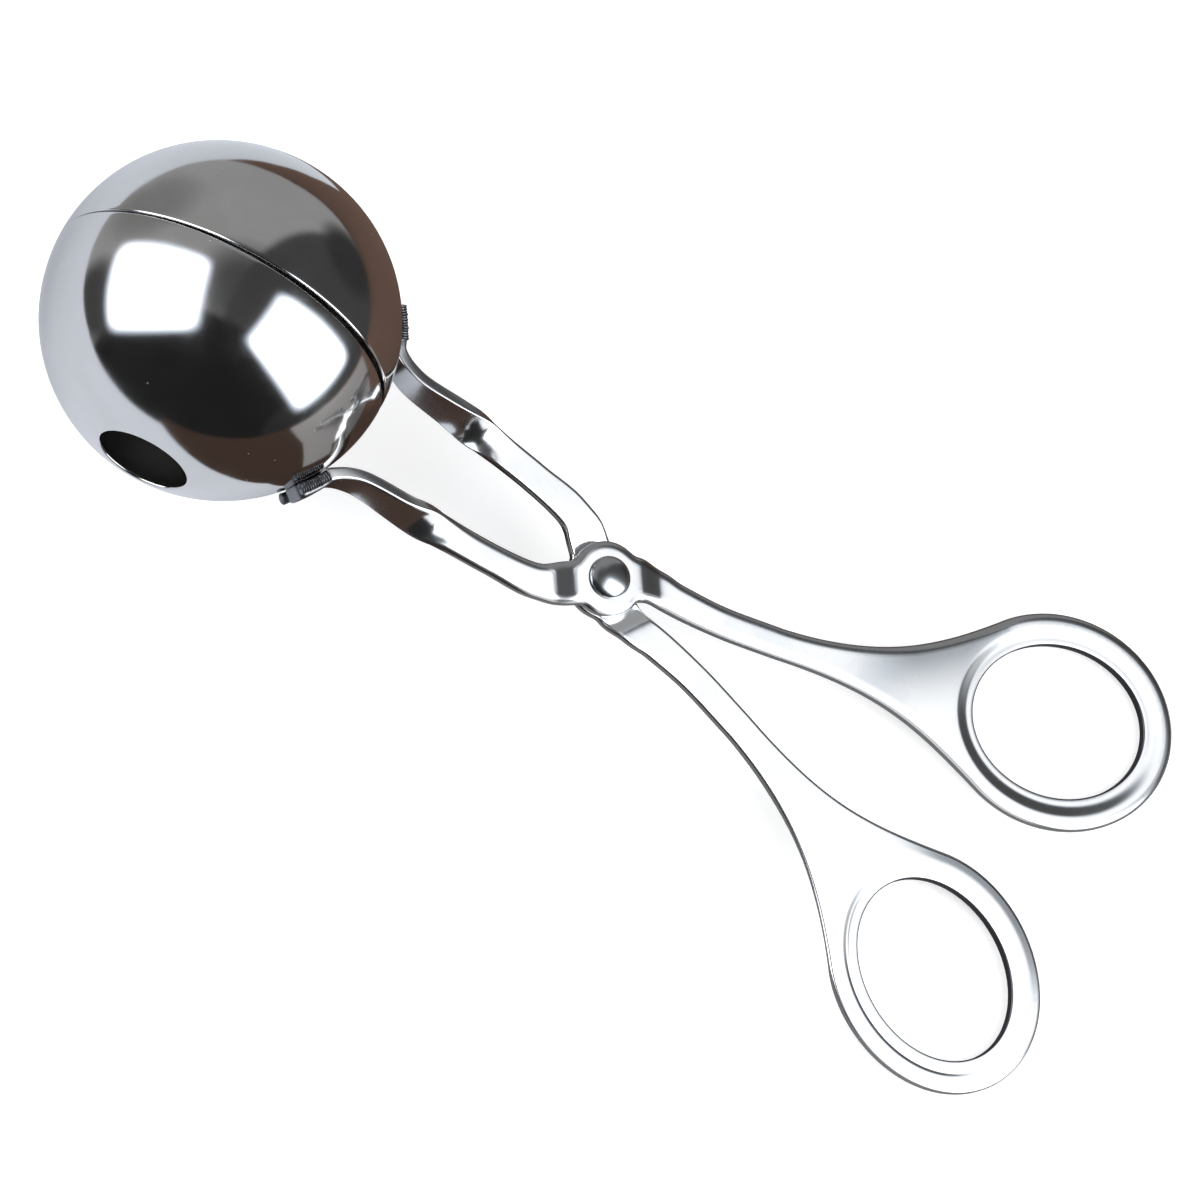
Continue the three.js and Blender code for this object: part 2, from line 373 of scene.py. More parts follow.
def placed(name: str, data: bpy.types.ID) -> bpy.types.Object:
    """Makes an object of some data and puts it in the scene.

    Args:
        name: Name of the object.
        data: Its mesh, lamp or camera.

    Returns:
        The new object, at the origin.
    """
    thing = bpy.data.objects.new(name, data)
    bpy.context.scene.collection.objects.link(thing)
    return thing


def new_piece(name: str, solid: Solid, finish: bpy.types.Material) -> bpy.types.Object:
    """Makes a smooth mesh object with its faces pointing outwards.

    Args:
        name: Name of the object.
        solid: Its points in metres and its faces.
        finish: Its material.

    Returns:
        The new object, at the origin.
    """
    mesh = bpy.data.meshes.new(name)
    mesh.from_pydata(solid.points.tolist(), [], solid.faces)
    shape = bmesh.new()
    shape.from_mesh(mesh)
    bmesh.ops.recalc_face_normals(shape, faces=shape.faces)
    shape.to_mesh(mesh)
    shape.free()
    mesh.shade_smooth()
    # Per-point dullness and painted shade, which the material reads to darken and roughen the steel.
    dullness = mesh.attributes.new("dullness", "FLOAT", "POINT")
    dullness.data.foreach_set("value", solid.dullness.astype(np.float32))
    mesh.materials.append(finish)
    return placed(name, mesh)


def hand_over(piece: bpy.types.Object, body: str, node: str) -> None:
    """Puts a finished piece on its body in place of its CAD node.

    Args:
        piece: The finished piece.
        body: The body that it moves with.
        node: The CAD node that it stands for.
    """
    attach(piece, body)
    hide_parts(node)
    log.info("%s: %d faces on %s", piece.name, len(piece.data.polygons), body)


def both_halves(tool: ToolFrame, solid: Solid, word: str, node_word: str, finish: bpy.types.Material) -> None:
    """Makes a piece of the front half, and its twin turned over on the rear half.

    Args:
        tool: The tongs' own frame.
        solid: The front piece in the tongs' frame.
        word: Name of the pieces after that of their half.
        node_word: Name of their CAD nodes after that of their half.
        finish: Their material.
    """
    for side in Side:
        points = tool.place(solid.points, side.turned_over)
        piece = new_piece(f"{side.value}_{word}", Solid(points, solid.faces, solid.dullness), finish)
        hand_over(piece, side.body, f"{side.value}_{node_word}")


class NodeBench:
    """Adds nodes to a tree, each with its settings, values and links."""

    def __init__(self, tree: bpy.types.NodeTree) -> None:
        """Keeps the tree to add to."""
        self.tree = tree

    def add(
        self, kind: str, inputs: dict[str | int, object] | None = None, **settings: object
    ) -> bpy.types.Node:
        """Adds a node.

        Args:
            kind: Type of the node.
            inputs: What each input gets: an output of another node, or a value of its own.
            settings: Settings of the node itself.

        Returns:
            The new node.
        """
        node = self.tree.nodes.new(kind)
        for name, value in settings.items():
            setattr(node, name, value)
        for key, value in (inputs or {}).items():
            if isinstance(value, bpy.types.NodeSocket):
                self.tree.links.new(value, node.inputs[key])
            else:
                node.inputs[key].default_value = value
        return node

    def math(self, operation: str, *values: bpy.types.NodeSocket | float) -> bpy.types.NodeSocket:
        """Calculates with values."""
        return self.add("ShaderNodeMath", dict(enumerate(values)), operation=operation).outputs["Value"]

    def mix_colours(self, share: bpy.types.NodeSocket, first: object, second: object) -> bpy.types.NodeSocket:
        """Mixes two colours by a share of the second."""
        return self.add("ShaderNodeMix", {0: share, 6: first, 7: second}, data_type="RGBA").outputs[2]

    def mix_values(self, share: bpy.types.NodeSocket, first: object, second: object) -> bpy.types.NodeSocket:
        """Mixes two values by a share of the second."""
        return self.add("ShaderNodeMix", {0: share, 2: first, 3: second}, data_type="FLOAT").outputs[0]

    def ranged(self, value: bpy.types.NodeSocket, low: float, high: float) -> bpy.types.NodeSocket:
        """Stretches a value smoothly, so that low becomes 0 and high becomes 1."""
        limits = {"Value": value, "From Min": low, "From Max": high}
        return self.add("ShaderNodeMapRange", limits, interpolation_type="SMOOTHSTEP").outputs["Result"]


@dataclass
class Run:
    """The strip from the tab to the start of the neck, station by station."""

    station: np.ndarray
    centre: np.ndarray
    heading: np.ndarray
    half_width: np.ndarray
    twist: np.ndarray

    @property
    def across(self) -> np.ndarray:
        """Direction to the left of the heading at each station."""
        return np.column_stack((-self.heading[:, 1], self.heading[:, 0]))

    def at(self, station: np.ndarray) -> Run:
        """Reads the strip at other stations.

        Args:
            station: The stations.

        Returns:
            The strip there.
        """
        return Run(
            station,
            read_at(station, self.station, self.centre),
            unit(read_at(station, self.station, self.heading)),
            np.interp(station, self.station, self.half_width),
            np.interp(station, self.station, self.twist),
        )


@dataclass
class Arm:
    """One arm: a stamped strip with a tab, a twist, a stepped round plate, a neck and a finger loop.

    It is laid out as a flat blank. The outline is offset inwards ring by ring for its rolled edges, the
    blank is filled with triangles, and the part toward the ball is then twisted and bent on to its centre
    line.
    """

    ball_radius: float = BALL_RADIUS
    shell_depth: float = SHELL_DEPTH
    pivot_to_ball: float = PIVOT_TO_BALL
    thickness: float = 2.0
    tab_start: float = 24.0
    tab_end: float = 37.0
    tab_width: float = 5.4
    tab_corner: float = 1.2
    tab_ease: float = 2.0
    tab_places: int = 4
    seat_gap: float = 0.3
    jaw: tuple[Place, ...] = (
        Place(-42.6, -9.8, 5.7, 81.0),
        Place(-33.0, -9.2, 6.2, 72.0),
        Place(-25.0, -8.4, 5.0, 0.0),
        Place(-17.5, -7.7, 5.0, 0.0),
    )
    crossing: tuple[Place, ...] = (
        Place(-10.0, -6.6, 5.6, 0.0),
        Place(-5.4, -4.3, 6.9, 0.0),
        Place(0.0, 0.0, 7.5, 0.0),
        Place(4.4, 2.8, 7.2, 0.0),
        Place(8.0, 3.85, 5.8, 0.0),
        Place(12.0, 4.15, 5.3, 0.0),
        Place(20.0, 5.35, 5.0, 0.0),
        Place(30.0, 7.85, 5.0, 0.0),
    )
    width_ease: float = 1.5
    twist_ease: float = 5.5
    flat_from: float = -20.0
    plate_radius: float = 6.0
    plate_lift: float = 1.15
    plate_axis: float = 33.0
    plate_blend: float = 0.9
    step_start: float = 5.7
    step_end: float = 8.9
    step_bend: float = 0.27
    rivet_hole: float = 2.35
    neck_heading: float = 16.5
    outer_meet: float = 120.0
    inner_meet: float = 226.0
    outer_pulls: tuple[float, float] = (17.0, 12.0)
    inner_pulls: tuple[float, float] = (19.0, 14.0)
    loop_centre: tuple[float, float] = (76.9, 23.7)
    loop_tilt: float = 26.0
    hole_long: float = 15.2
    hole_short: float = 12.4
    loop_band: float = 5.2
    roll_width: float = 1.5
    roll_height: float = 0.85
    roll_steps: int = 9
    outer_ring: float = 1.3
    lower_roll_share: float = 0.3
    lower_roll_height: float = 0.45
    hole_roll: float = 0.3
    lip_flat: float = 1.05
    lip_end: float = 3.2
    lip_depth: float = 0.32
    lip_start_share: float = 0.7
    lip_steps: int = 14
    crease_from_hole: float = 2.0
    crease_width: float = 0.35
    crease_depth: float = 0.13
    crease_middle: float = 120.0
    crease_reach: float = 98.0
    bevel_width: float = 1.9
    bevel_drop: float = 0.2
    bevel_middle: float = -75.0
    bevel_reach: float = 75.0
    side_ease: float = 40.0
    handle_ease: float = 8.0
    shoulder_width: float = 11.0
    shoulder_drop: float = 0.6
    shoulder_from: float = 38.0
    shoulder_full: float = 52.0
    shoulder_fade: float = 58.0
    shoulder_to: float = 68.0
    jaw_roll_width: float = 0.6
    jaw_roll_height: float = 0.5
    jaw_roll_until: float = -33.0
    full_roll_from: float = -20.0
    # Painted shade: the rolled edges and the finger hole's rim are painted darker, and the tab darker still,
    # partly for its heated, less polished steel.
    painted_edge_shade: float = 0.4
    tab_dullness_and_shade: float = 0.8
    painted_shade_ease: float = 0.4
    run_steps: int = 60
    run_spacing: float = 0.05
    strip_spacing: float = 0.1
    corner_steps: int = 24
    neck_steps: int = 160
    loop_steps: int = 900
    bore_steps: int = 72
    tangent_step: float = 0.5
    edge_spacing: float = 0.35
    fine_spacing: float = 0.32
    wide_spacing: float = 0.9
    fine_until: float = 14.0
    spare_share: float = 0.6

    def beside_ball(self, angle: float, stand_off: float) -> tuple[float, float]:
        """Finds a place beside the ball on the front half.

        Args:
            angle: Angle from the long axis, as seen from the middle of the ball.
            stand_off: Distance off the shell.

        Returns:
            The place in plan.
        """
        turn = math.radians(angle)
        across = self.ball_radius + stand_off
        deep = self.shell_depth + stand_off
        reach = across * deep / math.hypot(deep * math.cos(turn), across * math.sin(turn))
        return reach * math.cos(turn) - self.pivot_to_ball, -reach * math.sin(turn)

    def run(self) -> Run:
        """Lays the centre line from the end of the tab to the start of the neck.

        Returns:
            The strip, closely spaced.
        """
        stand_off = self.seat_gap + self.thickness / 2.0
        angles = np.linspace(self.tab_end, self.tab_start, self.tab_places)
        tab = tuple(Place(*self.beside_ball(angle, stand_off), self.tab_width, 90.0) for angle in angles)
        places = tab + self.jaw + self.crossing
        dense = catmull_rom(np.array([(place.x, place.y) for place in places]), self.run_steps)
        length = stations(dense)
        station = np.linspace(0.0, length[-1], round(length[-1] / self.run_spacing))
        centre = read_at(station, length, dense)
        rank = np.interp(station, length, np.arange(len(dense)) / self.run_steps)
        lower = np.clip(rank.astype(int), 0, len(places) - 2)
        share = smooth(rank - lower)
        given_width = np.array([place.width for place in places])
        given_twist = np.array([place.twist for place in places])
        width = given_width[lower] + (given_width[lower + 1] - given_width[lower]) * share
        twist = given_twist[lower] + (given_twist[lower + 1] - given_twist[lower]) * share
        return Run(
            station,
            centre,
            unit(np.gradient(centre, axis=0)),
            eased(width, round(self.width_ease / self.run_spacing)) / 2.0,
            eased(np.radians(twist), round(self.twist_ease / self.run_spacing)),
        )

    def reach(self, run: Run, side: float) -> np.ndarray:
        """Half width of the blank on one side of the centre line, with the plate and the tab's corners.

        Args:
            run: The strip.
            side: 1 for the left of the heading, -1 for the right.

        Returns:
            Distance from the centre line to the edge at each station.
        """
        along = (run.centre * run.across).sum(axis=1) * side
        under_root = along**2 - (run.centre**2).sum(axis=1) + self.plate_radius**2
        plate = np.where(under_root > 0.0, np.sqrt(np.abs(under_root)) - along, 0.0)
        edge = soft_larger(run.half_width, plate, self.plate_blend)
        inset = np.clip(self.tab_corner - run.station, 0.0, None)
        corner = self.tab_corner - np.sqrt(np.clip(self.tab_corner**2 - inset**2, 0.0, None))
        return edge - corner

    def on_loop(self, angle: np.ndarray | float, band: float) -> np.ndarray:
        """Finds places round the finger loop.

        Args:
            angle: Angle in the tilted frame of the loop.
            band: Distance outside the finger hole.

        Returns:
            The places in plan.
        """
        turn = np.radians(angle)
        tilt = math.radians(self.loop_tilt)
        along = (self.hole_long + band) * np.cos(turn)
        across = (self.hole_short + band) * np.sin(turn)
        x = self.loop_centre[0] + along * math.cos(tilt) - across * math.sin(tilt)
        y = self.loop_centre[1] + along * math.sin(tilt) + across * math.cos(tilt)
        return np.stack((x, y), axis=-1)

    def neck_edge(self, side: float, start: np.ndarray) -> np.ndarray:
        """Runs one edge of the neck from the strip to the loop.

        Args:
            side: 1 for the outer edge, -1 for the inner one.
            start: Where the edge of the strip ends.

        Returns:
            Points along the edge.
        """
        meet = self.outer_meet if side > 0 else self.inner_meet
        leave_pull, meet_pull = self.outer_pulls if side > 0 else self.inner_pulls
        turn = math.radians(self.neck_heading)
        end = self.on_loop(meet, self.loop_band)
        before = self.on_loop(meet - self.tangent_step, self.loop_band)
        ahead = self.on_loop(meet + self.tangent_step, self.loop_band) - before
        ahead *= side / np.linalg.norm(ahead)
        leave = start + leave_pull * np.array((math.cos(turn), math.sin(turn)))
        return bezier(np.array((start, leave, end + ahead * meet_pull, end)), self.neck_steps)

    def blank_point(self, run: Run, station: np.ndarray, sideways: np.ndarray) -> np.ndarray:
        """Lays a place of the strip on the flat blank, where the part toward the ball is straight.

        Args:
            run: The strip.
            station: Distance along the centre line.
            sideways: Distance to the left of it.

        Returns:
            Places on the blank.
        """
        split = self.split(run)
        here = run.at(np.maximum(station, split))
        short = np.minimum(station - split, 0.0)
        return here.centre + here.heading * short[:, None] + here.across * sideways[:, None]

    def split(self, run: Run) -> float:
        """Station where the flat run begins."""
        return float(np.interp(self.flat_from, run.centre[:, 0], run.station))

    def outline(self, run: Run) -> tuple[np.ndarray, np.ndarray]:
        """Draws the outer edge of the blank.

        Args:
            run: The strip.

        Returns:
            The closed edge, with the metal to its right, and the outer edge of the neck.
        """
        corner = self.tab_corner * (1.0 - np.cos(np.linspace(0.0, math.pi / 2.0, self.corner_steps)))
        straight = np.arange(self.tab_corner + self.strip_spacing, run.station[-1], self.strip_spacing)
        station = np.concatenate((corner, straight))
        strip = run.at(station)
        left = self.blank_point(run, station, self.reach(strip, 1.0))
        right = self.blank_point(run, station, -self.reach(strip, -1.0))
        outer = self.neck_edge(1.0, left[-1])
        inner = self.neck_edge(-1.0, right[-1])
        angle = np.linspace(self.outer_meet, self.inner_meet - 360.0, self.loop_steps)
        loop = self.on_loop(angle, self.loop_band)
        line = np.vstack((left, outer[1:], loop[1:], inner[-2::-1], right[-2::-1]))
        return resample_loop(line, self.edge_spacing), outer

    def rings(self, edge: np.ndarray, insets: np.ndarray, widths: np.ndarray | float = 1.0) -> np.ndarray:
        """Offsets a closed edge into the metal.

        Args:
            edge: The edge, with the metal to its right.
            insets: Distances from the edge, the first of them 0.
            widths: Factor on the distances at each point of the edge.

        Returns:
            Points of all rings, ring after ring.
        """
        inward = right_of(edge) * np.reshape(widths, (-1, 1))
        return np.vstack([edge + inward * inset for inset in insets])

    def roll(self, blank: np.ndarray, jaw: float, full: float) -> np.ndarray:
        """Grows a size of the rolled edge from the jaw to the rest of the arm."""
        share = (blank[:, 0] - self.jaw_roll_until) / (self.full_roll_from - self.jaw_roll_until)
        return jaw + (full - jaw) * smooth(share)

    def filling(self, edges: list[tuple[np.ndarray, float]]) -> np.ndarray:
        """Spreads points over the blank between the rings.

        Args:
            edges: Each edge, with the distance from it that the rings take up.

        Returns:
            The points.
        """
        outer = edges[0][0]
        low = outer.min(axis=0)
        high = outer.max(axis=0)
        grids = []
        areas = ((low[0], self.fine_until, self.fine_spacing), (self.fine_until, high[0], self.wide_spacing))
        for start, end, spacing in areas:
            across = np.arange(low[1], high[1], spacing * TRIANGLE_HEIGHT)
            along = np.arange(start, end, spacing)
            x, y = np.meshgrid(along, across)
            x = x + np.where(np.arange(len(across)) % 2 == 0, 0.0, spacing / 2.0)[:, None]
            grids.append(np.column_stack((x.ravel(), y.ravel())))
        points = np.vstack(grids)
        for edge, taken in edges:
            row, _ = nearest(points, edge)
            depth = ((points - edge[row]) * right_of(edge)[row]).sum(axis=1)
            spacing = np.where(points[:, 0] < self.fine_until, self.fine_spacing, self.wide_spacing)
            points = points[depth > taken + spacing * self.spare_share]
        return points

    def lift(self, plan: np.ndarray) -> np.ndarray:
        """Lifts the strip's middle where it steps up to the plate.

        Args:
            plan: Places in plan.

        Returns:
            Height of the middle at each place.
        """
        turn = math.radians(self.plate_axis)
        away = np.abs(plan[:, 0] * math.cos(turn) + plan[:, 1] * math.sin(turn))
        share = (away - self.step_start) / (self.step_end - self.step_start)
        return self.plate_lift * (1.0 - soft_ramp(share, self.step_bend))

    def bent(self, run: Run, blank: np.ndarray, height: np.ndarray) -> np.ndarray:
        """Bends the blank to its real shape.

        Args:
            run: The strip.
            blank: Places on the flat blank.
            height: Height of each place over the middle of the metal.

        Returns:
            Points in the tongs' frame.
        """
        split = self.split(run)
        start = run.at(np.array((split,)))
        away = blank - start.centre
        short = away @ start.heading[0]
        sideways = away @ start.across[0]
        flat = np.column_stack((blank, height + self.lift(blank)))
        jaw = run.at(np.clip(short + split, 0.0, None))
        level = sideways * np.cos(jaw.twist) - height * np.sin(jaw.twist)
        rise = sideways * np.sin(jaw.twist) + height * np.cos(jaw.twist)
        twisted = np.column_stack((jaw.centre + jaw.across * level[:, None], rise))
        near_jaw = (short < 0.0) & (blank[:, 0] < 0.0)
        return np.where(near_jaw[:, None], twisted, flat)

    def shape(self) -> Solid:
        """Builds the front arm.

        Returns:
            The closed shape in the tongs' frame.
        """
        run = self.run()
        edge, neck = self.outline(run)
        hole_steps = round(2.0 * math.pi * self.hole_long / self.edge_spacing)
        hole = self.on_loop(np.linspace(0.0, 360.0, hole_steps, endpoint=False), 0.0)
        turn = np.linspace(0.0, 2.0 * math.pi, self.bore_steps, endpoint=False)
        bore = self.rivet_hole * np.column_stack((np.cos(turn), np.sin(turn)))
        rolled = 1.0 - np.cos(np.linspace(0.0, math.pi / 2.0, self.roll_steps))
        lip = np.linspace(self.lip_flat * self.lip_start_share, self.lip_end, self.lip_steps)
        insets = (
            np.concatenate((rolled, (self.outer_ring,))),
            np.concatenate((self.hole_roll * rolled[::2], lip)),
            self.hole_roll * rolled[::2],
        )
        widths = (self.roll(edge, self.jaw_roll_width, self.roll_width), 1.0, 1.0)
        lines = (edge, hole, bore)
        parts = [self.rings(*ring) for ring in zip(lines, insets, widths)]
        taken = (self.outer_ring * self.roll_width, insets[1][-1], insets[2][-1])
        parts.append(self.filling(list(zip(lines, taken))))
        blank = np.vstack(parts)
        starts = np.cumsum([0] + [len(part) for part in parts])
        loops = [np.arange(start, start + len(line)) for start, line in zip(starts, lines)]
        distances = np.full((len(lines), len(blank)), np.inf)
        for row, line in enumerate(lines):
            distances[row, starts[row] : starts[row + 1]] = np.repeat(insets[row], len(line))
        to_edge, to_hole, to_bore = distances
        top, bottom = self.heights(run, blank, neck, to_edge, to_hole, to_bore)
        points = np.vstack((self.bent(run, blank, top), self.bent(run, blank, bottom)))
        # Painted shade and dullness of both faces.
        upper = self.dullness(run, blank, to_edge, to_hole)
        lower = self.dullness(run, blank, to_edge / self.lower_roll_share, to_hole)
        return Solid(points, self.skin(blank, loops), np.concatenate((upper, lower)))

    def heights(
        self,
        run: Run,
        blank: np.ndarray,
        neck: np.ndarray,
        to_edge: np.ndarray,
        to_hole: np.ndarray,
        to_bore: np.ndarray,
    ) -> tuple[np.ndarray, np.ndarray]:
        """Heights of both faces over the middle of the metal.

        Args:
            run: The strip.
            blank: Places on the blank.
            neck: Outer edge of the neck.
            to_edge: Distance from the outer edge, as a share of the rolled edge's width.
            to_hole: Distance from the finger hole.
            to_bore: Distance from the rivet hole.

        Returns:
            Heights of the upper and the lower face.
        """
        half = np.full(len(blank), self.thickness / 2.0)
        for distance in (to_hole, to_bore):
            half -= self.fallen(distance / self.hole_roll) * self.hole_roll
        upper = half - self.fallen(to_edge) * self.roll(blank, self.jaw_roll_height, self.roll_height)
        lower = half - self.fallen(to_edge / self.lower_roll_share) * self.lower_roll_height
        slope = (np.minimum(to_hole, self.lip_end) - self.lip_flat) / (self.lip_end - self.lip_flat)
        lip = self.lip_depth * (1.0 - smooth(slope))
        across = (to_hole - self.crease_from_hole) / self.crease_width
        creased = self.beside(blank, self.crease_middle, self.crease_reach)
        crease = self.crease_depth * creased * np.exp(-(across**2))
        in_bevel = 1.0 - np.minimum(to_edge * self.roll_width / self.bevel_width, 1.0)
        bevel = self.bevel_drop * self.beside(blank, self.bevel_middle, self.bevel_reach) * in_bevel
        _, to_neck = nearest(blank, neck)
        rise = (blank[:, 0] - self.shoulder_from) / (self.shoulder_full - self.shoulder_from)
        fall = (blank[:, 0] - self.shoulder_fade) / (self.shoulder_to - self.shoulder_fade)
        near = 1.0 - np.clip(to_neck / self.shoulder_width, 0.0, 1.0)
        shoulder = self.shoulder_drop * smooth(rise) * (1.0 - smooth(fall)) * near**2
        seat = self.on_tab(run, blank) * self.seat_gap
        return upper - lip - shoulder, -(lower - crease - bevel + seat)

    def beside(self, blank: np.ndarray, middle: float, reach: float) -> np.ndarray:
        """Picks one side of the finger loop.

        Args:
            blank: Places on the blank.
            middle: Angle of the middle of that side, as seen from the middle of the loop.
            reach: Angle from there at which the side ends.

        Returns:
            Share of that side at each place, 1 on it and 0 away from it.
        """
        out = blank - np.array(self.loop_centre)
        turn = np.arctan2(out[:, 1], out[:, 0]) - math.radians(middle)
        away = np.abs(np.arctan2(np.sin(turn), np.cos(turn)))
        on_handle = smooth((blank[:, 0] - self.shoulder_full) / self.handle_ease)
        return on_handle * smooth((math.radians(reach) - away) / math.radians(self.side_ease))

    @staticmethod
    def fallen(inset: np.ndarray) -> np.ndarray:
        """How far a rolled edge has fallen, from 1 on the edge to 0 at the inner end of the roll."""
        return 1.0 - np.sqrt(1.0 - (1.0 - np.clip(inset, 0.0, 1.0)) ** 2)

    def on_tab(self, run: Run, blank: np.ndarray) -> np.ndarray:
        """Picks the tab.

        Args:
            run: The strip.
            blank: Places on the blank.

        Returns:
            Share of the tab at each place, 1 on it and 0 away from it.
        """
        start = run.at(np.array((self.split(run),)))
        station = self.split(run) + (blank - start.centre) @ start.heading[0]
        tab_length = (self.ball_radius + self.seat_gap) * math.radians(self.tab_end - self.tab_start)
        past = (station - tab_length) / self.tab_ease + 0.5
        return np.where(blank[:, 0] < 0.0, 1.0 - smooth(past), 0.0)

    def dullness(self, run: Run, blank: np.ndarray, to_edge: np.ndarray, to_hole: np.ndarray) -> np.ndarray:
        """Dullness and painted shade of the steel: the rolled edges and the finger hole's rim are painted
        dark for the dark reflections on them, and the tab is darker for its heated, less polished steel and
        for painted shade.

        Args:
            run: The strip.
            blank: Places on the blank.
            to_edge: Distance from the outer edge, as a share of the rolled edge's width.
            to_hole: Distance from the finger hole.

        Returns:
            Dullness and painted shade of each place.
        """
        rolled = self.painted_edge_shade * smooth((1.0 - np.minimum(to_edge, 1.0)) / self.painted_shade_ease)
        rim = smooth((1.0 - np.minimum(to_hole / self.hole_roll, 1.0)) / self.painted_shade_ease)
        return np.maximum(np.maximum(rolled, rim), self.on_tab(run, blank) * self.tab_dullness_and_shade)

    def skin(self, blank: np.ndarray, loops: list[np.ndarray]) -> list[tuple[int, ...]]:
        """Covers both faces with triangles and closes the edges.

        Args:
            blank: Places on the blank.
            loops: Rows of the blank along each edge.

        Returns:
            Faces of the closed shape, whose lower points follow the upper ones.
        """
        borders = [pair for loop in loops for pair in zip(loop.tolist(), np.roll(loop, -1).tolist())]
        found = delaunay_2d_cdt([Vector(place) for place in blank], borders, [], 0, MERGE_DISTANCE)
        kept = [rows[0] for rows in found[3]]
        owner = np.full(len(blank), -1)
        for number, loop in enumerate(loops):
            owner[loop] = number
        count = len(blank)
        faces: list[tuple[int, ...]] = []
        for corners in found[2]:
            a, b, c = (kept[corner] for corner in corners)
            if owner[a] >= 0 and owner[a] == owner[b] == owner[c]:
                continue
            faces.append((a, b, c))
            faces.append((c + count, b + count, a + count))
        for a, b in borders:
            faces.append((a, b, b + count, a + count))
        return faces

    def build(self, tool: ToolFrame, finish: bpy.types.Material) -> None:
        """Makes both arms.

        Args:
            tool: The tongs' own frame.
            finish: The arms' material.
        """
        both_halves(tool, self.shape(), "stamped_arm", "arm", finish)


@dataclass
class HalfShell:
    """One half of the hollow ball: a thin deep-drawn bowl with a round hole at its pole."""

    radius: float = BALL_RADIUS
    depth: float = SHELL_DEPTH
    pivot_to_ball: float = PIVOT_TO_BALL
    wall: float = 0.6
    pole_hole: float = 7.4
    rim_gap: float = 0.6
    rim_tilt: float = 0.75
    tilt_reach: float = 9.0
    segments: int = 192
    steps: int = 72
    bead_steps: int = 9
    # Where the inside's roughness and painted shade begin, in wall thicknesses.
    inside_from: float = 0.3

    def profile(self) -> np.ndarray:
        """Draws the wall from the rim to the hole and back.

        Returns:
            Radius and depth below the rim plane of each point.
        """
        half = self.wall / 2.0
        rim = math.asin((self.rim_gap / 2.0 + half) / (self.depth - half))
        pole = math.acos((self.pole_hole + half) / (self.radius - half))
        angle = np.linspace(rim, pole, self.steps)
        middle = np.column_stack(((self.radius - half) * np.cos(angle), (self.depth - half) * np.sin(angle)))
        normal = unit(np.column_stack((np.cos(angle) / self.radius, np.sin(angle) / self.depth)))
        onward = np.column_stack((-normal[:, 1], normal[:, 0]))
        bead = np.linspace(0.0, math.pi, self.bead_steps)[1:-1, None]
        at_pole = middle[-1] + half * (np.cos(bead) * normal[-1] + np.sin(bead) * onward[-1])
        at_rim = middle[0] - half * (np.cos(bead) * normal[0] + np.sin(bead) * onward[0])
        return np.vstack((middle + half * normal, at_pole, (middle - half * normal)[::-1], at_rim))

    def shape(self) -> Solid:
        """Builds the front bowl, its rim a little further back toward the arms.

        Returns:
            The closed shape in the tongs' frame.
        """
        bowl = turned(self.profile(), self.segments, True)
        across, up, deep = bowl.points.T
        tilt = self.rim_gap / 2.0 * self.rim_tilt * across / self.radius
        y = -deep - tilt * np.exp(-((deep / self.tilt_reach) ** 2))
        out = np.sqrt((across**2 + up**2) / self.radius**2 + deep**2 / self.depth**2)
        # The inside is rougher, and painted darker: painted shade inside the bowl.
        inside = smooth((1.0 - out) * self.radius / self.wall - self.inside_from)
        return Solid(np.column_stack((across - self.pivot_to_ball, y, up)), bowl.faces, inside)

    def build(self, tool: ToolFrame, finish: bpy.types.Material) -> None:
        """Makes both bowls.

        Args:
            tool: The tongs' own frame.
            finish: The bowls' material.
        """
        both_halves(tool, self.shape(), "bowl", "shell", finish)


@dataclass
class PivotRivet:
    """The rivet: a low domed head in front, a shank and a formed tail behind."""

    shank: float = 2.2
    head_radius: float = 3.4
    head_height: float = 1.7
    tail_radius: float = 3.2
    tail_height: float = 1.1
    plate_top: float = 2.15
    foot: float = 0.22
    foot_corner: tuple[float, float] = (0.03, 0.06)
    foot_draw: float = 0.1
    # Painted shade round the foot of head and tail, where they sit on the plates.
    painted_shade_from: float = 0.1
    painted_shade_height: float = 0.4
    segments: int = 128
    steps: int = 28

    def cap(self, radius: float, height: float) -> np.ndarray:
        """Draws a dome from its top down to its foot on the plate.

        Args:
            radius: Radius of the dome.
            height: Height of the dome over the plate.

        Returns:
            Radius of each point and its height over the middle of the rivet.
        """
        angle = np.linspace(math.pi / 2.0, 0.0, self.steps)
        top = self.plate_top + self.foot + (height - self.foot) * np.sin(angle)
        crown = np.column_stack((radius * np.cos(angle), top))
        inward, upward = self.foot_corner
        under = (
            (radius - inward, self.plate_top + upward),
            (radius - self.foot_draw, self.plate_top),
            (self.shank, self.plate_top),
        )
        return np.vstack((crown, under))

    def build(self, tool: ToolFrame, finish: bpy.types.Material) -> None:
        """Makes the rivet.

        Args:
            tool: The tongs' own frame.
            finish: Its material.
        """
        head = self.cap(self.head_radius, self.head_height)
        tail = self.cap(self.tail_radius, self.tail_height)[::-1] * np.array((1.0, -1.0))
        solid = turned(np.vstack((head, tail)), self.segments, False)
        # Painted shade: the steel is darkened toward the foot of head and tail.
        above = np.abs(solid.points[:, 2]) - self.plate_top
        painted_shade = 1.0 - smooth((above - self.painted_shade_from) / self.painted_shade_height)
        piece = new_piece("domed_rivet", Solid(tool.place(solid.points), solid.faces, painted_shade), finish)
        hand_over(piece, Side.FRONT.body, "pivot_rivet")


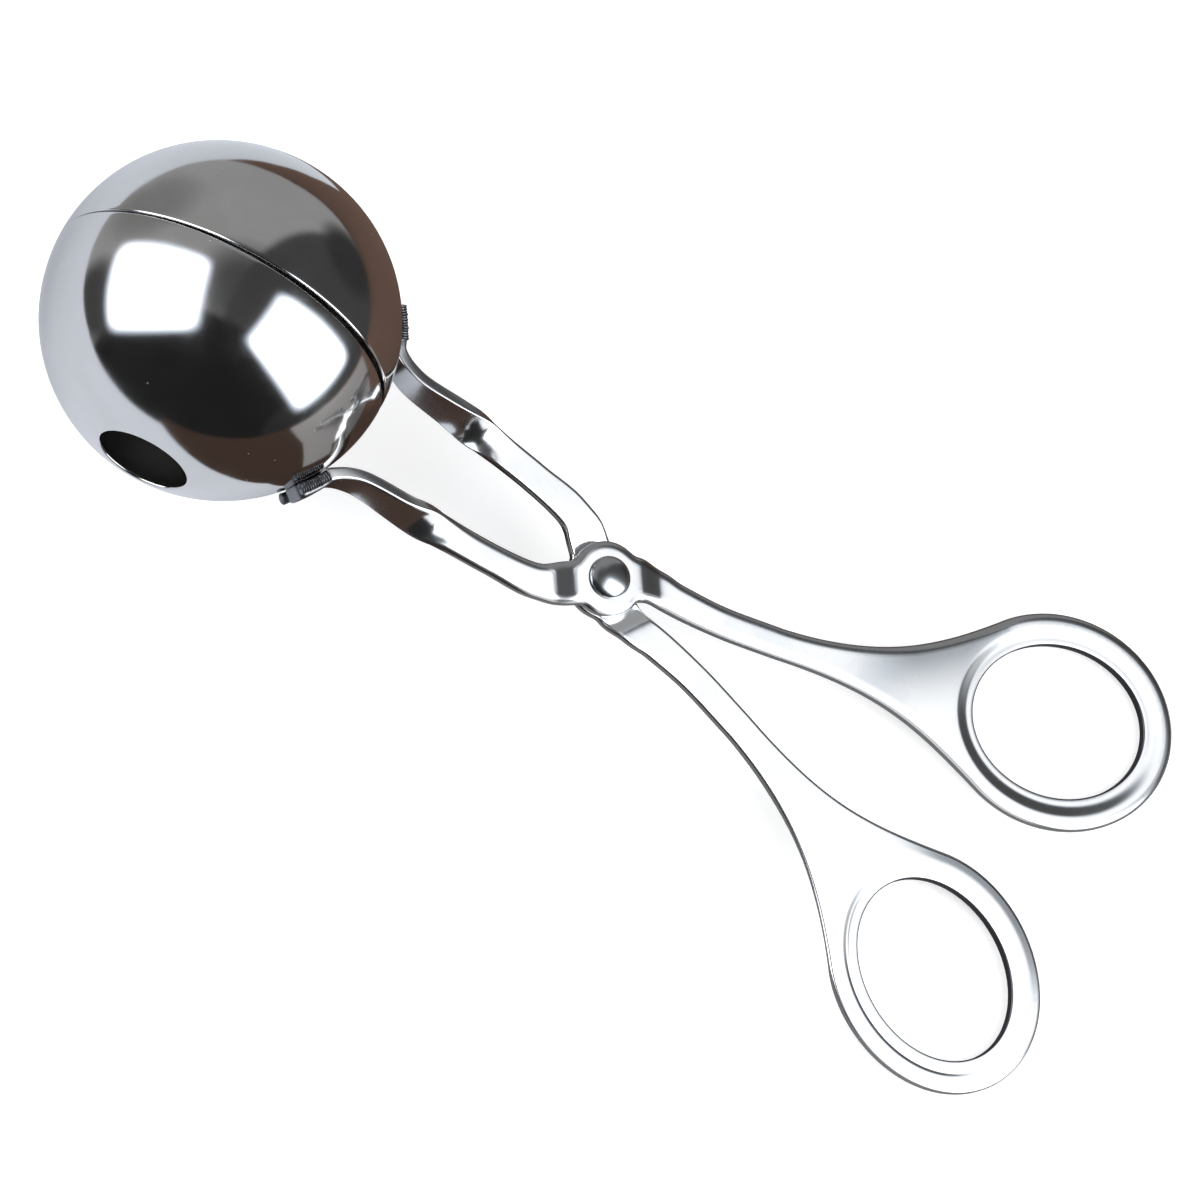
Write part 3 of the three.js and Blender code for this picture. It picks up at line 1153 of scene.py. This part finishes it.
@dataclass
class WeldBeads:
    """Weld metal along both long edges of each tab, laid ripple on ripple."""

    radius: float = 1.0
    stand_off: float = 1.2
    height: float = 3.75
    start: float = 27.0
    end: float = 37.0
    ripples: int = 13
    ripple_length: float = 0.34
    unevenness: float = 0.12
    seed: int = 7
    segments: int = 28
    rings: int = 18
    path_steps: int = 24
    arm: Arm = field(default_factory=Arm)

    def tree(self) -> bpy.types.GeometryNodeTree:
        """Builds the nodes that lay ripples along a path.

        Returns:
            The node tree.
        """
        tree = bpy.data.node_groups.new("weld_ripples", "GeometryNodeTree")
        for name, kind in (
            ("Path", "Geometry"),
            ("Ripples", "Int"),
            ("Radius", "Float"),
            ("Ripple Length", "Float"),
            ("Unevenness", "Float"),
            ("Finish", "Material"),
        ):
            tree.interface.new_socket(name, in_out="INPUT", socket_type=f"NodeSocket{kind}")
        tree.interface.new_socket("Bead", in_out="OUTPUT", socket_type="NodeSocketGeometry")
        bench = NodeBench(tree)
        given = bench.add("NodeGroupInput").outputs
        curve = bench.add("GeometryNodeMeshToCurve", {"Mesh": given["Path"]}).outputs["Curve"]
        spaced = bench.add("GeometryNodeResampleCurve", {"Curve": curve, "Count": given["Ripples"]})
        tangent = bench.add("GeometryNodeInputTangent").outputs["Tangent"]
        aligned = bench.add("FunctionNodeAlignRotationToVector", {"Vector": tangent}, axis="Z")
        grid = {"Segments": self.segments, "Rings": self.rings, "Radius": 1.0}
        ripple = bench.add("GeometryNodeMeshUVSphere", grid)
        least = bench.math("SUBTRACT", 1.0, given["Unevenness"])
        uneven = bench.add("FunctionNodeRandomValue", {2: least, "Seed": self.seed}, data_type="FLOAT")
        swell = bench.math("MULTIPLY", uneven.outputs[1], given["Radius"])
        size = bench.add("ShaderNodeCombineXYZ", {"X": swell, "Y": swell, "Z": given["Ripple Length"]})
        laying = {
            "Points": spaced.outputs["Curve"],
            "Instance": ripple.outputs["Mesh"],
            "Rotation": aligned.outputs["Rotation"],
            "Scale": size.outputs["Vector"],
        }
        laid = bench.add("GeometryNodeInstanceOnPoints", laying).outputs["Instances"]
        real = bench.add("GeometryNodeRealizeInstances", {"Geometry": laid}).outputs["Geometry"]
        shaded = bench.add("GeometryNodeSetShadeSmooth", {"Geometry": real}).outputs["Geometry"]
        dressed = bench.add("GeometryNodeSetMaterial", {"Geometry": shaded, "Material": given["Finish"]})
        bench.add("NodeGroupOutput", {"Bead": dressed.outputs["Geometry"]})
        return tree

    def path(self, level: Level) -> np.ndarray:
        """Lays the path of one bead of the front half.

        Args:
            level: The edge of the tab that it runs along.

        Returns:
            Points along the path in the tongs' frame.
        """
        height = self.height * level.value
        places = []
        for angle in np.linspace(self.start, self.end, self.path_steps):
            x, y = self.arm.beside_ball(angle, self.stand_off)
            reach = math.hypot(x + self.arm.pivot_to_ball, y)
            share = math.sqrt(reach * reach - height * height) / reach
            places.append(((x + self.arm.pivot_to_ball) * share - self.arm.pivot_to_ball, y * share, height))
        return np.array(places)

    def build(self, tool: ToolFrame, finish: bpy.types.Material) -> None:
        """Makes the four beads.

        Args:
            tool: The tongs' own frame.
            finish: The weld metal's material.
        """
        tree = self.tree()
        values = {
            "Ripples": self.ripples,
            "Radius": self.radius * MM,
            "Ripple Length": self.ripple_length * MM,
            "Unevenness": self.unevenness,
            "Finish": finish,
        }
        for side in Side:
            for level in Level:
                name = f"{side.value}_{level.name.lower()}_bead"
                points = tool.place(self.path(level), side.turned_over)
                piece = laid_along(name, points, tree, values)
                hand_over(piece, side.body, f"{side.value}_{level.name.lower()}_weld")


def laid_along(
    name: str, points: np.ndarray, tree: bpy.types.GeometryNodeTree, values: dict[str, object]
) -> bpy.types.Object:
    """Runs a node tree on a path and keeps the result as a plain mesh.

    Args:
        name: Name of the piece.
        points: The path in metres.
        tree: The node tree.
        values: Value of each named input of the tree.

    Returns:
        The finished piece.
    """
    path = bpy.data.meshes.new(f"{name}_path")
    path.from_pydata(points.tolist(), [(row, row + 1) for row in range(len(points) - 1)], [])
    piece = placed(name, path)
    modifier = piece.modifiers.new("ripples", "NODES")
    modifier.node_group = tree
    for item in tree.interface.items_tree:
        if item.item_type == "SOCKET" and item.in_out == "INPUT" and item.name in values:
            modifier[item.identifier] = values[item.name]
    depsgraph = bpy.context.evaluated_depsgraph_get()
    mesh = bpy.data.meshes.new_from_object(piece.evaluated_get(depsgraph))
    piece.modifiers.remove(modifier)
    piece.data = mesh
    mesh.name = name
    bpy.data.meshes.remove(path)
    return piece


@dataclass(frozen=True)
class SteelFinish:
    """A steel surface, from mirror polish to bare weld."""

    name: str
    colour: tuple[float, float, float]
    dull_colour: tuple[float, float, float]
    # Colour of painted shade, mixed in by the per-point attribute; on the arms' tab it also stands for less
    # polished steel.
    dullness_and_shade_colour: tuple[float, float, float]
    edge_roughness: float
    roughness: float
    haze: float
    haze_scale: float
    scratch_scale: float
    scratch_depth: float
    grain_scale: float
    grain_depth: float
    speck_scale: float
    speck_size: float
    speck_roughness: float = 0.5


@dataclass(frozen=True)
class SteelWear:
    """Handling wear that all the steel shares: hazy patches, hairline scratches, grain and dust specks."""

    haze_detail: float = 5.0
    haze_roughness: float = 0.6
    haze_distortion: float = 0.8
    haze_range: tuple[float, float] = (0.42, 0.72)
    strokes: tuple[tuple[float, float], ...] = ((0.35, 34.0), (-0.8, 26.0), (1.2, 40.0))
    stroke_tilt: tuple[float, float, float] = (0.4, 0.7, 1.0)
    stroke_detail: float = 2.0
    stroke_range: tuple[float, float] = (0.66, 0.76)
    grain_detail: float = 6.0
    grain_roughness: float = 0.65

    def group(self) -> bpy.types.ShaderNodeTree:
        """Builds the wear as a node group.

        Returns:
            The group, with masks and the height of the grain as its outputs.
        """
        group = bpy.data.node_groups.new("steel_wear", "ShaderNodeTree")
        for name in ("Haze Scale", "Scratch Scale", "Grain Scale", "Speck Scale", "Speck Size"):
            group.interface.new_socket(name, in_out="INPUT", socket_type="NodeSocketFloat")
        for name in ("Haze", "Scratches", "Grain", "Specks"):
            group.interface.new_socket(name, in_out="OUTPUT", socket_type="NodeSocketFloat")
        bench = NodeBench(group)
        given = bench.add("NodeGroupInput").outputs
        place = bench.add("ShaderNodeTexCoord").outputs["Object"]
        hazy = {
            "Vector": place,
            "Scale": given["Haze Scale"],
            "Detail": self.haze_detail,
            "Roughness": self.haze_roughness,
            "Distortion": self.haze_distortion,
        }
        haze = bench.add("ShaderNodeTexNoise", hazy).outputs["Fac"]
        lines = []
        for turn, stretch in self.strokes:
            tilt = tuple(turn * share for share in self.stroke_tilt)
            drawn = {"Vector": place, "Rotation": tilt, "Scale": (1.0, stretch, stretch)}
            drawn_place = bench.add("ShaderNodeMapping", drawn).outputs["Vector"]
            fine = {"Vector": drawn_place, "Scale": given["Scratch Scale"], "Detail": self.stroke_detail}
            line = bench.add("ShaderNodeTexNoise", fine).outputs["Fac"]
            lines.append(bench.ranged(line, *self.stroke_range))
        deepest = lines[0]
        for line in lines[1:]:
            deepest = bench.math("MAXIMUM", deepest, line)
        grainy = {
            "Vector": place,
            "Scale": given["Grain Scale"],
            "Detail": self.grain_detail,
            "Roughness": self.grain_roughness,
        }
        dust = bench.add("ShaderNodeTexVoronoi", {"Vector": place, "Scale": given["Speck Scale"]})
        masks = {
            "Haze": bench.ranged(haze, *self.haze_range),
            "Scratches": deepest,
            "Grain": bench.add("ShaderNodeTexNoise", grainy).outputs["Fac"],
            "Specks": bench.math("LESS_THAN", dust.outputs["Distance"], given["Speck Size"]),
        }
        bench.add("NodeGroupOutput", masks)
        return group


class Finishes:
    """Builds the material of each finish round the wear that they share."""

    def __init__(self) -> None:
        """Builds the shared node group once."""
        self.wear = SteelWear().group()

    def material(self, finish: SteelFinish) -> bpy.types.Material:
        """Builds the material of a finish.

        Args:
            finish: The finish.

        Returns:
            The material.
        """
        material = bpy.data.materials.new(finish.name)
        material.use_nodes = True
        material.node_tree.nodes.clear()
        bench = NodeBench(material.node_tree)
        scales = {
            "Haze Scale": finish.haze_scale,
            "Scratch Scale": finish.scratch_scale,
            "Grain Scale": finish.grain_scale,
            "Speck Scale": finish.speck_scale,
            "Speck Size": finish.speck_size,
        }
        wear = bench.add("ShaderNodeGroup", scales, node_tree=self.wear).outputs
        # The per-point attribute mixes in the dark colour and more roughness: painted shade, and less
        # polished steel.
        dullness = bench.add("ShaderNodeAttribute", attribute_name="dullness").outputs["Fac"]
        worn = bench.math("MAXIMUM", wear["Haze"], wear["Specks"])
        colour = bench.mix_colours(worn, (*finish.colour, 1.0), (*finish.dull_colour, 1.0))
        hazed = bench.math("MULTIPLY_ADD", wear["Haze"], finish.haze, finish.roughness)
        specked = bench.math("MULTIPLY_ADD", wear["Specks"], finish.speck_roughness, hazed)
        grained = bench.math("MULTIPLY", wear["Grain"], finish.grain_depth)
        cut = bench.math("MULTIPLY_ADD", wear["Scratches"], -finish.scratch_depth, grained)
        bump = bench.add("ShaderNodeBump", {"Strength": 1.0, "Distance": MM, "Height": cut})
        surface = {
            "Metallic": 1.0,
            "Base Color": bench.mix_colours(dullness, colour, (*finish.dullness_and_shade_colour, 1.0)),
            "Roughness": bench.math("MULTIPLY_ADD", dullness, finish.edge_roughness, specked),
            "Normal": bump.outputs["Normal"],
        }
        steel = bench.add("ShaderNodeBsdfPrincipled", surface)
        bench.add("ShaderNodeOutputMaterial", {"Surface": steel.outputs["BSDF"]})
        return material


ARM_STEEL = SteelFinish(
    name="arm_polished_steel",
    colour=(0.78, 0.79, 0.80),
    dull_colour=(0.70, 0.73, 0.76),
    # painted shade on the rolled edges, the finger hole's rim and the tab
    dullness_and_shade_colour=(0.07, 0.07, 0.08),
    edge_roughness=0.2,
    roughness=0.15,
    haze=0.05,
    haze_scale=70.0,
    scratch_scale=90.0,
    scratch_depth=0.0006,
    grain_scale=350.0,
    grain_depth=0.002,
    speck_scale=260.0,
    speck_size=0.02,
)
SHELL_STEEL = SteelFinish(
    name="bowl_mirror_steel",
    colour=(0.66, 0.65, 0.645),
    dull_colour=(0.70, 0.70, 0.70),
    # painted shade inside the bowl
    dullness_and_shade_colour=(0.34, 0.34, 0.34),
    edge_roughness=0.25,
    roughness=0.09,
    haze=0.04,
    haze_scale=60.0,
    scratch_scale=80.0,
    scratch_depth=0.0005,
    grain_scale=220.0,
    grain_depth=0.003,
    speck_scale=300.0,
    speck_size=0.03,
)
RIVET_STEEL = SteelFinish(
    name="rivet_polished_steel",
    colour=(0.52, 0.54, 0.56),
    dull_colour=(0.46, 0.49, 0.51),
    # painted shade round the rivet's foot
    dullness_and_shade_colour=(0.08, 0.08, 0.09),
    edge_roughness=0.2,
    roughness=0.23,
    haze=0.05,
    haze_scale=260.0,
    scratch_scale=200.0,
    scratch_depth=0.0008,
    grain_scale=500.0,
    grain_depth=0.004,
    speck_scale=420.0,
    speck_size=0.04,
)
WELD_METAL = SteelFinish(
    name="bare_weld_metal",
    colour=(0.17, 0.175, 0.19),
    dull_colour=(0.05, 0.048, 0.048),
    dullness_and_shade_colour=(0.06, 0.055, 0.05),
    edge_roughness=0.2,
    roughness=0.24,
    haze=0.2,
    haze_scale=900.0,
    scratch_scale=600.0,
    scratch_depth=0.004,
    grain_scale=2600.0,
    grain_depth=0.07,
    speck_scale=2200.0,
    speck_size=0.12,
)


class Aim(Enum):
    """Places that lamps are aimed at and seen from, in millimetres of the CAD frame."""

    BALL = (-70.06, 0.0, 28.0)
    GRIP = (50.0, 0.0, 10.0)


class Patch(NamedTuple):
    """A round patch of the room with a grey of its own.

    The grey is full up to one angle from the middle of the patch and gone at another.
    """

    azimuth: float
    elevation: float
    full: float
    gone: float
    grey: float


@dataclass(frozen=True)
class SoftBox:
    """A flat lamp with soft edges, placed by the direction and the size that it is seen in.

    It lights only the pieces whose name holds one of its words, or everything where it has none.
    """

    name: str
    aim: Aim
    azimuth: float
    elevation: float
    distance: float
    width: float
    height: float
    roll: float
    brightness: float
    edge: float
    words: tuple[str, ...] = ()
    edge_tint: tuple[float, float, float] = (0.72, 0.84, 1.0)


@dataclass(frozen=True)
class Card:
    """A flat card over the floor that only reflections see, in millimetres of the CAD frame."""

    name: str
    height: float
    colour: tuple[float, float, float]
    corners: tuple[tuple[float, float], ...]


WHITE_SHEET = Card(
    "white_sheet",
    0.6,
    (0.60, 0.63, 0.68),
    (
        *((-70.0, -160.0), (-48.0, -97.0), (-41.5, -75.0), (-35.0, -48.0), (-33.5, -34.0), (-33.0, -26.0)),
        *((-38.0, -15.0), (-46.0, -8.0), (-62.0, 15.0), (-75.0, 47.0), (-55.0, 74.0), (-63.0, 110.0)),
        *((-88.0, 150.0), (-144.0, 182.0), (-200.0, 135.0), (-220.0, 60.0), (-218.0, -9.0)),
        *((-190.0, -80.0), (-138.0, -126.0), (-96.0, -150.0)),
    ),
)
FRONT_BROWN_BOARD = Card(
    "front_brown_board",
    0.4,
    (0.050, 0.032, 0.025),
    (
        *((-72.0, -160.0), (-72.0, -236.0), (56.0, -229.0), (254.0, -196.0), (600.0, -60.0)),
        *((600.0, 0.0), (-70.0, 0.0)),
    ),
)
REAR_BROWN_BOARD = Card(
    "rear_brown_board",
    0.4,
    (0.125, 0.080, 0.062),
    (
        *((600.0, 0.0), (600.0, 300.0), (489.0, 461.0), (135.0, 560.0), (-73.0, 593.0)),
        *((-139.0, 363.0), (-150.0, 190.0), (-80.0, 60.0), (-60.0, 0.0)),
    ),
)
GREY_SHEET = Card(
    "grey_sheet",
    0.5,
    (0.26, 0.255, 0.25),
    (
        *((-20.0, -20.0), (31.0, -43.0), (242.0, -168.0), (462.0, -100.0), (462.0, 185.0)),
        *((22.0, 22.0), (-17.0, -6.0)),
    ),
)
BUT_RIVET = ("arm", "bowl", "bead", "floor", "sheet", "board")
ARMS_ONLY = ("arm",)


@dataclass
class Studio:
    """Pale floor, soft boxes in a dim room, and the camera at the photograph's angle."""

    azimuth: float = -122.39
    elevation: float = 62.52
    roll: float = 63.47
    distance: float = 1401.33
    aim: tuple[float, float, float] = (0.917, -3.113, 0.0)
    lens: float = 270.4
    sensor: float = 36.0
    clip: tuple[float, float] = (0.05, 20.0)
    floor_colour: tuple[float, float, float] = (0.8, 0.8, 0.8)
    floor_glow: float = 0.6
    floor_reach: float = 4000.0
    floor_detail_reach: float = 160.0
    floor_spacing: float = 4.0
    hollow_depth: float = 5.4
    hollow_across: tuple[float, float] = (14.0, 52.0)
    hollow_along: tuple[float, float] = (15.0, -30.0)
    cards: tuple[Card, ...] = (WHITE_SHEET, FRONT_BROWN_BOARD, REAR_BROWN_BOARD, GREY_SHEET)
    room_grey: float = 0.45
    patches: tuple[Patch, ...] = (
        Patch(0.0, 90.0, 8.0, 38.0, 0.10),
        Patch(0.0, 30.0, 62.0, 67.0, 0.08),
        Patch(150.0, 5.0, 8.0, 28.0, 0.30),
        Patch(56.0, 8.0, 10.0, 20.0, 0.05),
        Patch(-88.0, 9.0, 56.0, 62.0, 0.022),
        Patch(-160.0, -8.0, 12.0, 24.0, 0.08),
        Patch(-28.0, -4.0, 10.0, 16.0, 0.04),
    )
    boxes: tuple[SoftBox, ...] = (
        SoftBox("right_box", Aim.BALL, -10.0, 38.0, 0.75, 0.92, 1.44, 8.0, 4.5, 0.19),
        SoftBox("left_box", Aim.BALL, -157.5, 34.0, 0.75, 1.1, 1.44, -11.0, 4.5, 0.2, BUT_RIVET),
        SoftBox("top_card", Aim.GRIP, 0.0, 68.5, 0.5, 1.5, 0.78, 0.0, 1.27, 0.2, ARMS_ONLY),
        SoftBox("back_card", Aim.GRIP, 96.0, 67.0, 0.5, 0.1, 0.6, 0.0, 1.5, 0.3, ARMS_ONLY),
        SoftBox("front_card", Aim.GRIP, -59.0, 24.0, 0.092, 1.2, 1.1, 0.0, 1.2, 0.12, ARMS_ONLY),
        SoftBox("side_card", Aim.GRIP, 29.0, 37.0, 0.5, 0.3, 0.5, 0.0, 0.55, 0.25, ARMS_ONLY),
    )

    def camera(self, tool: ToolFrame) -> None:
        """Puts the camera where the photograph was taken from.

        Args:
            tool: The tongs' own frame.
        """
        back = toward(self.azimuth, self.elevation)
        data = bpy.data.cameras.new("photo_camera")
        data.lens = self.lens
        data.sensor_width = self.sensor
        data.clip_start, data.clip_end = self.clip
        camera = placed("photo_camera", data)
        aim = Vector(tool.place(np.array((self.aim,)))[0])
        place = aim + tool.turn @ back * self.distance * MM
        turn = tool.turn @ facing(back, self.roll).to_matrix()
        camera.matrix_world = Matrix.Translation(place) @ turn.to_4x4()
        bpy.context.scene.camera = camera

    def soft_box(self, box: SoftBox) -> None:
        """Hangs a soft box.

        Args:
            box: The box.
        """
        away = toward(box.azimuth, box.elevation)
        data = bpy.data.lights.new(box.name, "AREA")
        data.shape = "RECTANGLE"
        data.size = box.width * box.distance
        data.size_y = box.height * box.distance
        data.energy = box.brightness * math.pi * data.size * data.size_y
        self.soften(data, box)
        lamp = placed(box.name, data)
        place = Vector(box.aim.value) * MM + away * box.distance
        lamp.matrix_world = Matrix.Translation(place) @ facing(away, box.roll).to_matrix().to_4x4()
        lamp.visible_camera = False
        if box.words:
            receivers = bpy.data.collections.new(f"{box.name}_receivers")
            for piece in bpy.data.objects:
                if piece.type == "MESH" and any(word in piece.name for word in box.words):
                    receivers.objects.link(piece)
            lamp.light_linking.receiver_collection = receivers

    @staticmethod
    def soften(data: bpy.types.AreaLight, box: SoftBox) -> None:
        """Lets the light of a soft box fall off toward its edges.

        Args:
            data: The lamp.
            box: The soft box, whose edge is the share of a side that fades.
        """
        data.use_nodes = True
        tree = data.node_tree
        bench = NodeBench(tree)
        place = bench.add("ShaderNodeNewGeometry").outputs["Parametric"]
        split = bench.add("ShaderNodeSeparateXYZ", {"Vector": place}).outputs
        half = 0.5
        folded = [bench.math("PINGPONG", split[axis], half) for axis in "XY"]
        both = bench.math("MULTIPLY", *(bench.ranged(side, 0.0, box.edge) for side in folded))
        colour = bench.mix_colours(both, (*box.edge_tint, 1.0), (1.0, 1.0, 1.0, 1.0))
        glow = tree.nodes["Emission"]
        tree.links.new(colour, glow.inputs["Color"])
        tree.links.new(both, glow.inputs["Strength"])

    @staticmethod
    def flat_material(name: str, colour: tuple[float, float, float], glow: float) -> bpy.types.Material:
        """Builds a plain matt material for floor and cards.

        Args:
            name: Name of the material.
            colour: Its colour.
            glow: Light of its own.

        Returns:
            The material.
        """
        material = bpy.data.materials.new(name)
        material.use_nodes = True
        matt = material.node_tree.nodes["Principled BSDF"]
        matt.inputs["Base Color"].default_value = (*colour, 1.0)
        matt.inputs["Roughness"].default_value = 1.0
        matt.inputs["Specular IOR Level"].default_value = 0.0
        matt.inputs["Emission Color"].default_value = (*colour, 1.0)
        matt.inputs["Emission Strength"].default_value = glow
        return material

    @staticmethod
    def sheet(
        name: str, points: np.ndarray, faces: list[tuple[int, ...]], finish: bpy.types.Material
    ) -> bpy.types.Object:
        """Lays a sheet that is not part of the object.

        Args:
            name: Name of the sheet.
            points: Its points in millimetres of the CAD frame.
            faces: Its faces.
            finish: Its material.

        Returns:
            The sheet.
        """
        mesh = bpy.data.meshes.new(name)
        mesh.from_pydata((points * MM).tolist(), [], faces)
        mesh.shade_smooth()
        mesh.materials.append(finish)
        sheet = placed(name, mesh)
        return sheet

    def hollow(self, x: np.ndarray, y: np.ndarray) -> np.ndarray:
        """Hollows the floor where the rear bowl swings a little below the table, because the pivot leans.

        Args:
            x: Places along the tongs.
            y: Places across them.

        Returns:
            Depth below the table at each place.
        """
        across = (y - self.hollow_across[0]) / (self.hollow_across[1] - self.hollow_across[0])
        along = (x - self.hollow_along[0]) / (self.hollow_along[1] - self.hollow_along[0])
        return self.hollow_depth * smooth(across) * smooth(along)

    def floor(self) -> None:
        """Lays the pale floor, with sheets on it that only reflections see."""
        end = self.floor_detail_reach + self.floor_spacing / 2.0
        detail = np.arange(-self.floor_detail_reach, end, self.floor_spacing)
        lines = np.concatenate(((-self.floor_reach,), detail, (self.floor_reach,)))
        x, y = (axis.ravel() for axis in np.meshgrid(lines, lines))
        count = len(lines)
        corners = [row * count + column for row in range(count - 1) for column in range(count - 1)]
        faces = [(corner, corner + 1, corner + count + 1, corner + count) for corner in corners]
        points = np.column_stack((x, y, -self.hollow(x, y)))
        finish = self.flat_material("pale_floor", self.floor_colour, self.floor_glow)
        self.sheet("pale_floor", points, faces, finish).visible_glossy = False
        for card in self.cards:
            finish = self.flat_material(card.name, card.colour, 0.0)
            points = np.array([(*corner, card.height) for corner in card.corners])
            sheet = self.sheet(card.name, points, [tuple(range(len(points)))], finish)
            sheet.visible_camera = False
            sheet.visible_diffuse = False
            sheet.visible_shadow = False

    def room(self) -> None:
        """Builds the dim room round the tongs: pale to the camera, grey with a dark side to reflections."""
        world = bpy.data.worlds.new("studio_room")
        world.use_nodes = True
        bpy.context.scene.world = world
        world.node_tree.nodes.clear()
        bench = NodeBench(world.node_tree)
        direction = bench.add("ShaderNodeTexCoord").outputs["Generated"]
        shade: bpy.types.NodeSocket | float = self.room_grey
        for patch in self.patches:
            ways = {0: direction, 1: toward(patch.azimuth, patch.elevation)}
            along = bench.add("ShaderNodeVectorMath", ways, operation="DOT_PRODUCT").outputs["Value"]
            gone, full = (math.cos(math.radians(angle)) for angle in (patch.gone, patch.full))
            shade = bench.mix_values(bench.ranged(along, gone, full), shade, patch.grey)
        seen = bench.add("ShaderNodeLightPath").outputs["Is Camera Ray"]
        light = bench.add("ShaderNodeBackground", {"Strength": bench.mix_values(seen, shade, 1.0)})
        bench.add("ShaderNodeOutputWorld", {"Surface": light.outputs["Background"]})

    def build(self, tool: ToolFrame) -> None:
        """Sets up camera, floor, room and lamps.

        Args:
            tool: The tongs' own frame.
        """
        self.camera(tool)
        self.floor()
        self.room()
        for box in self.boxes:
            self.soft_box(box)
        bpy.context.scene.view_settings.view_transform = "Standard"


def main() -> None:
    """Builds the tongs piece by piece, then the studio round them."""
    logging.basicConfig(level=logging.INFO, format="%(name)s: %(message)s")
    pivot = next(joint for joint in frame["joints"] if joint["name"] == "pivot")
    tool = ToolFrame.from_joint(pivot)
    finishes = Finishes()
    Arm().build(tool, finishes.material(ARM_STEEL))
    HalfShell().build(tool, finishes.material(SHELL_STEEL))
    PivotRivet().build(tool, finishes.material(RIVET_STEEL))
    WeldBeads().build(tool, finishes.material(WELD_METAL))
    Studio().build(tool)


if __name__ == "__main__":
    main()
